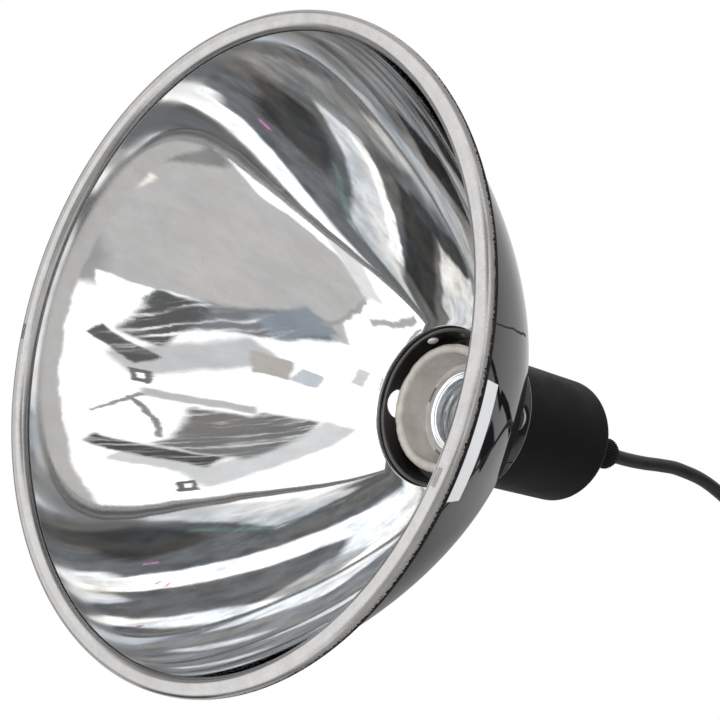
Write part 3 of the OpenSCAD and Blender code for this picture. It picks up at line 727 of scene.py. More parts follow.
JACKET = Finish("Cord jacket", "cord_jacket", (0.008, 0.008, 0.008), roughness=0.36, grain=1400.0,
                drift=120.0)
RUBBER = Finish("Soft rubber", "grommet_rubber", (0.022, 0.022, 0.022), roughness=0.7, tone=0.2, gloss=0.1,
                grain=1800.0, drift=100.0, depth=0.03)
GASKET = Finish("Gasket rubber", "gasket_rubber", (0.10, 0.10, 0.10), roughness=0.8, tone=0.2, gloss=0.1,
                grain=1800.0, drift=100.0, depth=0.03)
BLACK_CORE = Finish("Black core", "black_lead", (0.02, 0.02, 0.02), roughness=0.35)
WHITE_CORE = Finish("White core", "white_lead", (0.72, 0.72, 0.70), roughness=0.35)
TIE = Finish("Soft tie", "gasket_rubber", (0.045, 0.045, 0.047), roughness=0.85, tone=0.2, gloss=0.1,
             grain=1800.0, drift=100.0, depth=0.03)
STRIP = Finish("Blank strip", "white_lead", (0.56, 0.57, 0.585), roughness=0.4, tone=0.03, grain=900.0,
               depth=0.004)


def finish(piece: Piece, look: Finish, *nodes: str, body: str = LAMP) -> Piece:
    """Gives a piece its finish and its place in the frame.

    Args:
        piece: The object.
        look: Its finish.
        nodes: The CAD nodes that it stands for.
        body: The CAD body that it rides on.

    Returns:
        The same object.
    """
    piece.data.materials.clear()
    piece.data.materials.append(look.material())
    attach(piece, body)
    if nodes:
        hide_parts(*nodes)
    log.info("%s: %s", piece.name, look.name)
    return piece


def paint(look: Finish, *nodes: str) -> None:
    """Gives kept CAD nodes a finish.

    Args:
        look: The finish.
        nodes: The nodes' names.
    """
    for node in nodes:
        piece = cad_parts[node]
        if not piece.material_slots:
            piece.data.materials.append(None)
        for place in piece.material_slots:
            place.material = look.material()
        log.info("%s: %s", node, look.name)


@dataclass(frozen=True)
class Rounding:
    """Edges of a piece that get a wide rounding, picked by their two ends."""

    width: float
    chosen: Callable[[Vector, Vector], bool]
    sharp: float = 30.0
    steps: int = 4

    def apply(self, piece: Piece) -> None:
        """Rounds the picked edges of a piece.

        Args:
            piece: The object to round.
        """
        with editing(piece):
            bpy.ops.mesh.select_mode(type="EDGE")
            bpy.ops.mesh.select_all(action="DESELECT")
            shape = bmesh.from_edit_mesh(piece.data)
            for edge in shape.edges:
                if edge.is_manifold and edge.calc_face_angle() > math.radians(self.sharp):
                    edge.select_set(self.chosen(edge.verts[0].co, edge.verts[1].co))
            bmesh.update_edit_mesh(piece.data)
            bpy.ops.mesh.bevel(offset=self.width, segments=self.steps, affect="EDGES", clamp_overlap=True)
            bpy.ops.mesh.select_mode(type="VERT")


def dressed(node: str, look: Finish, bevel: float, rounds: Sequence[Rounding] = (),
            body: str = LAMP) -> Piece:
    """A merged copy of a CAD node with its edges eased.

    Args:
        node: The CAD node.
        look: The copy's finish.
        bevel: Width of the eased edges, in millimetres.
        rounds: Wider roundings that come first.
        body: The CAD body that it rides on.

    Returns:
        The new piece.
    """
    piece = new_object(f"{node}_dressed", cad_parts[node].data.copy())
    with editing(piece):
        bpy.ops.mesh.remove_doubles(threshold=2 * WELD)
        bpy.ops.mesh.dissolve_limited(angle_limit=math.radians(FLAT))
    for rounding in rounds:
        rounding.apply(piece)
    ease(piece, bevel * MM)
    smooth(piece)
    return finish(piece, look, node, body=body)


# Studio

CARD_SHAPE = ("Turn", "Length", "Width", "Soft", "Taper", "Skew")
SOFT_SHARE = 0.28


@dataclass(frozen=True)
class Card:
    """A soft-edged panel of the studio, on the flattened half-sphere in front of the bowl's mouth."""

    x: float
    y: float
    turn: float
    length: float
    width: float
    soft: float
    level: float
    warmth: float = 0.0
    taper: float = 0.0
    skew: float = 0.0
    streak: float = 0.0
    tint: Triple = (1.0, 1.0, 1.0)

    def colour(self) -> Colour:
        """The panel's colour."""
        return tuple(c * t for c, t in zip(grey(self.level, self.warmth), self.tint)) + (1.0,)

    def shape(self) -> dict[str, object]:
        """The panel's place and shape, by the panel group's inputs."""
        shape = (math.radians(self.turn), self.length, self.width, self.soft, self.taper, self.skew)
        return {"Centre": (self.x, self.y, 0), **dict(zip(CARD_SHAPE, shape))}


@dataclass(frozen=True)
class Room:
    """A plain wall with panels over it, the last on top, and how uneven their colours are."""

    base: float
    cards: tuple[Card, ...]
    uneven: float = 0.0


# Seen in a single reflection

FIRST = Room(1.16, uneven=0.15, cards=(
    Card(0.47, -0.55, -4, 0.31, 0.30, 0.03, 0.755, warmth=0.005, taper=0.12),
    Card(0.49, -0.35, 43, 0.21, 0.20, 0.03, 0.755, warmth=0.005),
    Card(0.36, -0.86, -10, 0.26, 0.08, 0.12, 0.64),
    Card(0.76, -0.45, 80, 0.20, 0.03, 0.04, 0.56),
    Card(0.65, -0.60, 62, 0.075, 0.035, 0.03, 1.0, warmth=0.03),
    Card(0.60, -0.09, 5, 0.16, 0.04, 0.04, 0.92),
    Card(-0.10, -0.565, 42, 0.17, 0.055, 0.06, 0.80),
    Card(0.135, -0.50, 63, 0.19, 0.06, 0.05, 0.50, warmth=-0.015, streak=0.7),
    Card(0.195, -0.395, 50, 0.10, 0.05, 0.05, 0.60, warmth=-0.035, streak=0.5),
    Card(0.025, -0.645, 14, 0.12, 0.05, 0.04, 0.38, streak=0.8),
    Card(-0.14, -0.70, -62, 0.075, 0.030, 0.02, 0.38, streak=0.5),
    Card(0.075, -0.745, 14, 0.09, 0.04, 0.02, 1.15, taper=0.6),
    Card(-0.45, -0.215, 10, 0.19, 0.055, 0.05, 0.87),
    Card(-0.60, -0.32, 80, 0.13, 0.025, 0.03, 0.86),
    Card(-0.395, -0.335, -6, 0.125, 0.085, 0.05, 0.48, taper=-0.15, skew=0.25, streak=0.7),
    Card(-0.40, -0.43, -12, 0.075, 0.05, 0.05, 0.50, warmth=0.01, taper=0.3, streak=0.7),
    Card(-0.30, -0.50, 78, 0.10, 0.022, 0.03, 0.76),
    Card(-0.565, -0.42, 82, 0.13, 0.03, 0.03, 0.33, streak=0.4),
    Card(-0.425, -0.53, -47, 0.10, 0.007, 0.01, 0.55),
    Card(-0.40, -0.605, 12, 0.07, 0.006, 0.01, 0.6),
    Card(-0.05, -0.44, -8, 0.055, 0.045, 0.02, 0.72, warmth=0.02),
    Card(-0.06, -0.355, 10, 0.04, 0.03, 0.02, 0.82, warmth=-0.02),
    Card(0.03, -0.225, 5, 0.05, 0.02, 0.02, 0.86),
    Card(-0.255, -0.625, -15, 0.035, 0.017, 0.008, 0.45),
    Card(-0.255, -0.625, -15, 0.014, 0.007, 0.006, 1.1),
    Card(-0.66, -0.235, -60, 0.032, 0.018, 0.008, 0.45),
    Card(-0.66, -0.235, -60, 0.012, 0.007, 0.006, 1.1),
    Card(0.385, -0.03, 70, 0.14, 0.012, 0.02, 0.70),
    Card(0.33, -0.235, 43, 0.13, 0.008, 0.015, 0.66),
    Card(0.0, 0.86, 0, 1.6, 0.30, 0.30, 0.55),
))

# Seen in a double reflection

SECOND = Room(0.45, uneven=0.9, cards=(
    Card(0.25, 0.50, 0, 0.60, 0.38, 0.10, 1.0),
    Card(0.95, 0.0, 80, 0.45, 0.25, 0.15, 0.74),
    Card(0.60, 0.06, 80, 0.18, 0.14, 0.12, 0.74),
    Card(0.40, -0.34, 60, 0.10, 0.06, 0.06, 0.54),
    Card(-0.33, 0.02, -12, 0.17, 0.10, 0.06, 1.1),
    Card(-0.45, -0.06, 10, 0.08, 0.06, 0.05, 0.76),
    Card(-0.54, -0.25, 97, 0.19, 0.045, 0.05, 1.1),
    Card(-0.29, -0.52, -30, 0.07, 0.04, 0.05, 0.90),
    Card(-0.205, -0.28, 98, 0.27, 0.05, 0.03, 1.2),
    Card(-0.15, -0.53, -20, 0.07, 0.05, 0.05, 1.1, warmth=0.03),
    Card(0.43, -0.35, 60, 0.21, 0.075, 0.05, 0.57),
    Card(0.54, -0.12, 60, 0.08, 0.05, 0.05, 0.78),
    Card(0.15, -0.262, -20, 0.21, 0.055, 0.03, 0.90),
    Card(0.20, -0.238, -20, 0.15, 0.018, 0.02, 1.1),
    Card(0.12, -0.42, -15, 0.12, 0.07, 0.06, 0.30),
    Card(-0.72, -0.38, -45, 0.25, 0.08, 0.06, 0.57),
    Card(0.26, 0.02, -5, 0.10, 0.09, 0.03, 0.92),
    Card(0.22, -0.14, -6, 0.15, 0.05, 0.04, 0.27),
    Card(0.375, -0.04, 80, 0.12, 0.03, 0.03, 0.30),
    Card(0.03, -0.298, -30, 0.085, 0.006, 0.004, 0.54, tint=(0.74, 1.0, 0.86)),
    Card(-0.056, -0.202, 97, 0.055, 0.005, 0.004, 0.56, tint=(0.76, 1.0, 0.87)),
    Card(-0.048, -0.428, 96, 0.011, 0.004, 0.002, 1.05, tint=(1.0, 0.30, 0.72)),
    Card(-0.565, -0.321, 0, 0.014, 0.004, 0.002, 0.85, tint=(1.0, 0.45, 0.75)),
    Card(-0.215, -0.41, 20, 0.014, 0.003, 0.002, 1.0, tint=(1.0, 0.25, 0.70)),
    Card(-0.19, -0.43, 20, 0.014, 0.004, 0.003, 0.85, tint=(0.95, 1.0, 0.55)),
))

# Seen after more reflections

THIRD = Room(0.60, uneven=1.0, cards=(
    Card(-0.13, -0.24, -60, 0.13, 0.075, 0.04, 1.1),
    Card(-0.40, -0.27, -62, 0.14, 0.025, 0.04, 1.0),
    Card(-0.36, -0.42, -40, 0.10, 0.04, 0.05, 0.52),
    Card(-0.46, -0.15, 60, 0.08, 0.04, 0.04, 0.56),
    Card(0.10, -0.26, 62, 0.20, 0.075, 0.03, 0.78),
    Card(-0.04, -0.485, 5, 0.13, 0.04, 0.04, 0.85),
    Card(0.33, -0.37, -60, 0.12, 0.05, 0.04, 0.44),
    Card(0.36, -0.16, 60, 0.10, 0.06, 0.04, 0.20),
))

# Seen by what faces up, such as the bowl's outside

OVERHEAD = Room(0.72, cards=(
    Card(0.0, 0.62, 0, 1.4, 0.36, 0.30, 0.86),
    Card(0.22, 0.18, -60, 0.30, 0.12, 0.14, 0.58),
    Card(-0.05, -0.34, 0, 0.32, 0.13, 0.10, 0.16),
    Card(-0.045, 0.058, 60, 0.068, 0.0048, 0.002, 0.03),
    Card(-0.009, 0.160, 74, 0.062, 0.0055, 0.002, 0.03),
    Card(0.026, 0.105, 70, 0.030, 0.017, 0.008, 0.04),
    Card(0.045, 0.090, 20, 0.012, 0.004, 0.003, 0.05),
    Card(-0.078, 0.162, 77, 0.120, 0.0010, 0.001, 0.36),
))


@dataclass(frozen=True)
class PhotoCamera:
    """The photograph's camera, looking up into the mouth of the bowl."""

    place: Triple = (-0.00762, -0.41083, -0.33888)
    forward: Triple = (0.0, 0.71636, 0.69773)
    right: Triple = (-0.28574, -0.66864, 0.68650)
    lens: float = 86.08
    sensor: float = 36.0
    clip: Span = (0.01, 50.0)

    def make(self) -> None:
        """Adds the camera and makes it the scene's own."""
        data = bpy.data.cameras.new("photo_camera")
        data.lens, data.sensor_width, data.sensor_fit = self.lens, self.sensor, "HORIZONTAL"
        data.clip_start, data.clip_end = self.clip
        camera = new_object("photo_camera", data)
        back, across = -Vector(self.forward), Vector(self.right)
        turn = Matrix((across, back.cross(across), back)).transposed().to_4x4()
        camera.matrix_world = Matrix.Translation(self.place) @ turn
        bpy.context.scene.camera = camera


@dataclass(frozen=True)
class SoftLamp:
    """A round lamp that matte surfaces see and mirrors don't."""

    name: str
    place: Triple
    size: float
    power: float
    aim: Triple = (0, 0, 0.1)

    def make(self) -> None:
        """Adds the lamp and points it at the bowl."""
        data = bpy.data.lights.new(self.name, "AREA")
        data.energy, data.size, data.shape = self.power, self.size, "DISK"
        lamp = new_object(self.name, data)
        lamp.location = self.place
        aim = Vector(self.aim) - Vector(self.place)
        lamp.rotation_euler = aim.to_track_quat("-Z", "Y").to_euler()
        lamp.visible_glossy = False


@dataclass
class Floor:
    """A pale floor with a hole under the bowl, clear from below and where light comes up to the rim."""

    rings: tuple[float, ...] = (0.104, 0.2, 0.6, 3.0)
    sides: int = 96
    tone: float = 0.82
    rough: float = 0.9
    clear_to: float = 0.135
    fade: Span = (0.45, 1.3)

    def make(self) -> None:
        """Builds the floor and stages it."""
        deselect()
        bpy.ops.mesh.primitive_circle_add(vertices=self.sides, radius=self.rings[0], fill_type="NOTHING")
        floor = bpy.context.object
        floor.name = "floor"
        with editing(floor):
            for last, radius in zip(self.rings, self.rings[1:]):
                bpy.ops.mesh.extrude_region_move()
                bpy.ops.transform.resize(value=(radius / last, radius / last, 1))
        face_outwards(floor)
        if floor.data.polygons[0].normal.z < 0:
            with editing(floor):
                bpy.ops.mesh.flip_normals()
        floor.data.materials.append(self.material())

    def material(self) -> bpy.types.Material:
        """Pale and matte near the lamp, white far off to the camera, and clear where light comes up.

        Returns:
            The material.
        """
        made = bpy.data.materials.new("Pale floor")
        made.use_nodes = True
        tree = Tree(made.node_tree)
        shader = made.node_tree.nodes["Principled BSDF"]
        tree.fill(shader, {"Base Color": (self.tone, self.tone, self.tone, 1), "Roughness": self.rough})
        clear = tree.add("BsdfTransparent")
        glow = tree.add("Emission", {"Color": (1, 1, 1, 1), "Strength": 1.0})
        facing = tree.add("NewGeometry").outputs["Backfacing"]
        place = tree.add("VectorMath", {0: tree.add("TexCoord").outputs["Object"]}, operation="LENGTH")
        away = place.outputs["Value"]
        camera = tree.add("LightPath").outputs["Is Camera Ray"]
        near = tree.math("LESS_THAN", away, self.clear_to)
        hidden = tree.math("MAXIMUM", facing, tree.times(near, tree.minus(1.0, camera)))
        far_seen = tree.times(tree.ramp(away, *self.fade), camera)
        lit = tree.add("MixShader", {0: far_seen, 1: shader.outputs[0], 2: glow.outputs[0]})
        both = tree.add("MixShader", {0: hidden, 1: lit.outputs[0], 2: clear.outputs[0]})
        tree.fill(made.node_tree.nodes["Material Output"], {"Surface": both.outputs[0]})
        return made


@dataclass
class Studio:
    """White room, soft lamps, and the panels that the mirror bowl shows, their colours a little clouded."""

    lamps: tuple[SoftLamp, ...] = (
        SoftLamp("key", (-0.9, -1.1, 1.3), 1.2, 22.0),
        SoftLamp("fill", (-0.5, -1.2, -1.0), 1.0, 7.0),
        SoftLamp("front", (-0.05, -0.42, -0.62), 0.3, 2.2),
    )
    wobble: float = 0.05
    wobbles: tuple[Triple, ...] = ((5.0, 1.0, 1.0), (26.0, 2.0, 0.4), (110.0, 3.0, 0.16))
    over_wobble: Triple = (16.0, 1.0, 0.16)
    streak_turn: float = 42.0
    streak_stretch: Triple = (3.0, 60.0, 1.0)
    streak_edge: Span = (0.50, 0.68)
    least_spread: float = 0.05
    horizon: float = 0.86
    horizon_soft: float = 0.01
    bench: float = 0.735
    bench_warmth: float = 0.008
    wall: float = 0.8
    bounces: Span = (2.5, 3.5)
    cloud_size: float = 11.0
    cloud_edge: Span = (0.32, 0.68)
    cloud_depth: Span = (-0.36, 0.45)
    cast_size: float = 5.0
    cast_edge: Span = (0.35, 0.65)
    cool: Span = (-0.06, 0.07)
    warm: Span = (0.04, -0.06)

    def _card_group(self) -> bpy.types.NodeTree:
        """The node group that gives one panel's mask.

        Returns:
            The group.
        """
        sockets = {"Point": None, "Centre": None, **dict.fromkeys(CARD_SHAPE, 0.0)}
        tree, source, result = new_group("studio_card", sockets, ("Mask",))
        away = tree.vector("SUBTRACT", source["Point"], source["Centre"])
        back = tree.times(source["Turn"], -1.0)
        level = tree.add("VectorRotate", {"Vector": away, "Angle": back}, rotation_type="Z_AXIS")
        split = tree.add("SeparateXYZ", {0: level.outputs[0]})
        half_soft = tree.times(source["Soft"], SOFT_SHARE)
        along = split.outputs["X"]
        flare = tree.plus(tree.times(tree.math("DIVIDE", along, source["Length"]), source["Taper"]), 1.0)
        aside = tree.minus(split.outputs["Y"], tree.times(along, source["Skew"]))
        masks = []
        for place, size in ((along, source["Length"]), (aside, tree.times(source["Width"], flare))):
            edge = tree.minus(size, half_soft), tree.plus(size, half_soft)
            masks.append(tree.ramp(tree.math("ABSOLUTE", place), *edge, 1.0, 0.0))
        tree.fill(result, {"Mask": tree.times(*masks)})
        return tree.tree

    def _panels(self, tree: Tree, group: bpy.types.NodeTree, point: Out, streaks: Out, room: Room) -> Out:
        """Lays a room's panels over its wall.

        Args:
            tree: The world's tree.
            group: The panel group.
            point: The place on the flattened half-sphere.
            streaks: Thin lines that let the wall show through a panel.
            room: The room.

        Returns:
            The colour seen there.
        """
        colour: object = grey(room.base)
        for card in room.cards:
            mask = tree.add("Group", {"Point": point, **card.shape()}, node_tree=group).outputs["Mask"]
            if card.streak > 0:
                mask = tree.times(mask, tree.minus(1.0, tree.times(streaks, card.streak)))
            colour = tree.mix(mask, colour, card.colour())
        return colour

    def _wavy(self, tree: Tree, point: Out, layers: Sequence[Triple]) -> Out:
        """Shifts a place by layers of noise, so that straight edges come out wavy.

        Args:
            tree: The world's tree.
            point: The place.
            layers: Scale, detail and share of the full wobble of each layer.

        Returns:
            The shifted place.
        """
        start = point
        for scale, detail, share in layers:
            layer = tree.noise(start, scale, detail)
            centred = tree.vector("SUBTRACT", layer.outputs["Color"], (0.5, 0.5, 0.5))
            point = tree.vector("ADD", point, tree.vector("SCALE", centred, self.wobble * share))
        return point

    def _mottled(self, tree: Tree, point: Out, colour: Out, depth: float) -> Out:
        """Breaks a flat colour up into lighter, darker, cooler and warmer places.

        Args:
            tree: The world's tree.
            point: The place on the flattened half-sphere.
            colour: The colour.
            depth: How strong the change is, from 0 to 1.

        Returns:
            The uneven colour.
        """
        cloud = tree.noise(point, self.cloud_size, 6.0, 0.72).outputs["Fac"]
        cast = tree.noise(point, self.cast_size, 1.0).outputs["Fac"]
        darkest, lightest = (1 + share * depth for share in self.cloud_depth)
        level = tree.ramp(cloud, *self.cloud_edge, darkest, lightest)
        cool, warm = ((1 + red * depth, 1.0, 1 + blue * depth, 1) for red, blue in (self.cool, self.warm))
        tint = tree.mix(tree.ramp(cast, *self.cast_edge), cool, warm)
        return tree.vector("MULTIPLY", tree.vector("SCALE", colour, level), tint)

    def _flattened(self, tree: Tree, split: bpy.types.Node, height: Out) -> Out:
        """A heading's place on the flattened half-sphere: its X and Y over what its height gives."""
        flat = {axis: tree.math("DIVIDE", split.outputs[axis], height) for axis in "XY"}
        return tree.add("CombineXYZ", flat).outputs[0]

    def _streaks(self, tree: Tree, point: Out) -> Out:
        """Thin lines across the panels.

        Args:
            tree: The world's tree.
            point: The place on the flattened half-sphere.

        Returns:
            1 on a line and 0 beside it.
        """
        angle = math.radians(-self.streak_turn)
        level = tree.add("VectorRotate", {"Vector": point, "Angle": angle}, rotation_type="Z_AXIS")
        long = tree.vector("MULTIPLY", level.outputs[0], self.streak_stretch)
        return tree.ramp(tree.noise(long, 1.0, 4.0, 0.7).outputs["Fac"], *self.streak_edge)

    def make_world(self) -> None:
        """A world that is white to the camera, plain to matte surfaces, and a studio to mirrors."""
        world = bpy.data.worlds.new("studio")
        bpy.context.scene.world = world
        world.use_nodes = True
        world.node_tree.nodes.clear()
        tree = Tree(world.node_tree)
        split = tree.add("SeparateXYZ", {0: tree.add("TexCoord").outputs["Generated"]})
        height = split.outputs["Z"]
        below = self._flattened(tree, split, tree.math("MAXIMUM", tree.minus(1.0, height), self.least_spread))
        above = self._flattened(tree, split, tree.plus(tree.math("MAXIMUM", height, 0.0), 1.0))
        point = self._wavy(tree, below, self.wobbles)
        streaks = self._streaks(tree, point)
        group = self._card_group()
        rooms = (FIRST, SECOND, THIRD)
        seen = [self._panels(tree, group, point, streaks, room) for room in rooms]
        reach = tree.add("VectorMath", {0: point}, operation="LENGTH").outputs["Value"]
        bench = tree.ramp(reach, self.horizon - self.horizon_soft, self.horizon + self.horizon_soft)
        seen[0] = tree.mix(bench, seen[0], grey(self.bench, self.bench_warmth))
        seen = [self._mottled(tree, point, colour, room.uneven) for colour, room in zip(seen, rooms)]
        high = self._wavy(tree, above, (self.over_wobble,))
        seen.append(self._panels(tree, group, high, streaks, OVERHEAD))
        seen += [(self.wall, self.wall, self.wall, 1.0), (1.0, 1.0, 1.0, 1.0)]
        first, second, third, ceiling, wall, white = (
            tree.add("Background", {"Color": colour}).outputs[0] for colour in seen)
        path = tree.add("LightPath").outputs
        later, last = (tree.math("GREATER_THAN", path["Ray Depth"], bounce) for bounce in self.bounces)
        overhead = tree.math("GREATER_THAN", height, 0.0)
        shader = second
        for share, no, yes in ((last, None, third), (later, first, None), (overhead, None, ceiling),
                               (path["Is Glossy Ray"], wall, None), (path["Is Camera Ray"], None, white)):
            shader = tree.add("MixShader", {0: share, 1: no or shader, 2: yes or shader}).outputs[0]
        tree.add("OutputWorld", {0: shader})

    def make(self) -> None:
        """Builds the world, the floor and the lamps."""
        self.make_world()
        Floor().make()
        for lamp in self.lamps:
            lamp.make()
        bpy.context.scene.view_settings.view_transform = "Standard"


# Cord

def strand(name: str, diameter: float, *routes: Sequence[Vector]) -> Piece:
    """A round curve along one or more routes.

    Args:
        name: The curve's name.
        diameter: Its thickness.
        routes: The points of each route.

    Returns:
        The curve object.
    """
    data = bpy.data.curves.new(name, "CURVE")
    data.dimensions = "3D"
    data.bevel_depth = diameter / 2
    data.bevel_resolution = 6
    data.resolution_u = data.render_resolution_u = 8
    data.use_fill_caps = True
    for route in routes:
        spline = data.splines.new("BEZIER")
        spline.bezier_points.add(len(route) - 1)
        for knot, point in zip(spline.bezier_points, route):
            knot.co = point
            knot.handle_left_type = knot.handle_right_type = "AUTO"
    return new_object(name, data)


@dataclass
class MainsCord:
    """Round cord: out of the gland, over, down to the line switch, and on in a tied coil to the plug."""

    switch_half: float = 29.5 * MM
    coil_lead: float = 31.5 * MM
    coil_radius: float = 39.6 * MM
    coil_step: float = 6.0 * MM
    coil_height: float = 3.75 * MM
    coil_turns: int = 5
    coil_points: int = 16
    plug_lap: float = 12 * MM
    over: tuple[Triple, ...] = (
        (0, 0, 218), (-0.5, 0, 230), (-1.5, 0, 242), (-2, -0.5, 254), (2, -3.5, 280), (14, -12, 302),
        (32, -25, 317), (53, -40.5, 322), (74, -56, 317), (92, -69, 302), (104, -77.5, 280),
        (109, -81.5, 254), (111, -83.5, 220), (112, -84, 180), (112, -84, 140), (112, -84, 100),
        (112, -84, 60), (112.6, -82.8, 44), (115.6, -77.6, 24), (123.5, -64, 9), (133, -47, 3.1),
        (139, -33.5, 5),
    )

    def heading(self) -> Vector:
        """The way the cord runs through the switch."""
        return round_axis(SWITCH_TURN, 1.0, 0.0)

    def to_switch(self) -> list[Vector]:
        """The route from the gland to the switch.

        Returns:
            The route's points.
        """
        start = Vector((0, 0, GLAND_TOP))
        end = Vector(SWITCH) - self.heading() * self.switch_half
        middle = [Vector(point) * MM for point in self.over]
        lead = [end - self.heading() * back * MM for back in (7, 2)]
        return [start, start + Vector((0, 0, 3 * MM)), *middle, *lead, end]

    def coil(self) -> list[Vector]:
        """The coil: turns lie beside and on each other.

        Returns:
            The coil's points, from its outer start to its outer end.
        """
        start_turn = SWITCH_TURN + 90
        turns = self.coil_turns + start_turn / 360
        foot = Vector(SWITCH) + self.heading() * (self.switch_half + self.coil_lead)
        centre = foot - round_axis(start_turn, self.coil_radius, 0)
        steps = [i / self.coil_points for i in range(math.floor(turns * self.coil_points) + 1)] + [turns]
        points = []
        for u in steps:
            radius = self.coil_radius - self.coil_step * (turns / 2 - abs(u - turns / 2))
            climb = min(max((u - turns / 2 + 0.25) / 0.5, 0), 1)
            height = self.coil_height + self.coil_step * climb * climb * (3 - 2 * climb)
            points.append(Vector((centre.x, centre.y, 0)) + round_axis(start_turn - 360 * u, radius, height))
        return points

    def to_plug(self) -> list[Vector]:
        """The route from the switch through the coil to the plug.

        Returns:
            The route's points.
        """
        start = Vector(SWITCH) + self.heading() * self.switch_half
        turns = self.coil()
        lead_in = turns[0] - self.heading() * CORD_D
        lead_out = turns[-1] - Vector((0, CORD_D, 0))
        end = Vector(PLUG) + Vector((0, self.plug_lap, 0))
        return [
            start, start + self.heading() * 3 * MM,
            lead_in - self.heading() * 13 * MM + Vector((0, 0, 2.4 * MM)),
            lead_in - self.heading() * 2 * MM, lead_in, *turns, lead_out, lead_out - Vector((0, 2 * MM, 0)),
            lead_out - Vector((0, 11 * MM, 0.5 * MM)), end + Vector((0, 10 * MM, 0.3 * MM)),
            end + Vector((0, 2 * MM, 0)), end,
        ]

    def length(self, piece: Piece) -> float:
        """The length of a cord's spline, in metres."""
        return piece.data.splines[0].calc_length()

    def make(self) -> tuple[Piece, Piece]:
        """Builds both stretches of the cord.

        Returns:
            The stretch to the switch, and the stretch from the switch to the plug.
        """
        first = strand("cord_from_gland", CORD_D, self.to_switch())
        second = strand("cord_to_plug_end", CORD_D, self.to_plug())
        finish(first, JACKET, "cord_free")
        finish(second, JACKET, "cord_to_coil", "cord_coil", "cord_to_plug")
        return first, second

    def declare(self, stretches: Sequence[Piece]) -> None:
        """Measures the length of each stretch's spline and keeps neither length.

        Args:
            stretches: The two stretches.
        """
        first, second = stretches
        self.length(first)
        self.length(second)


# Lamp

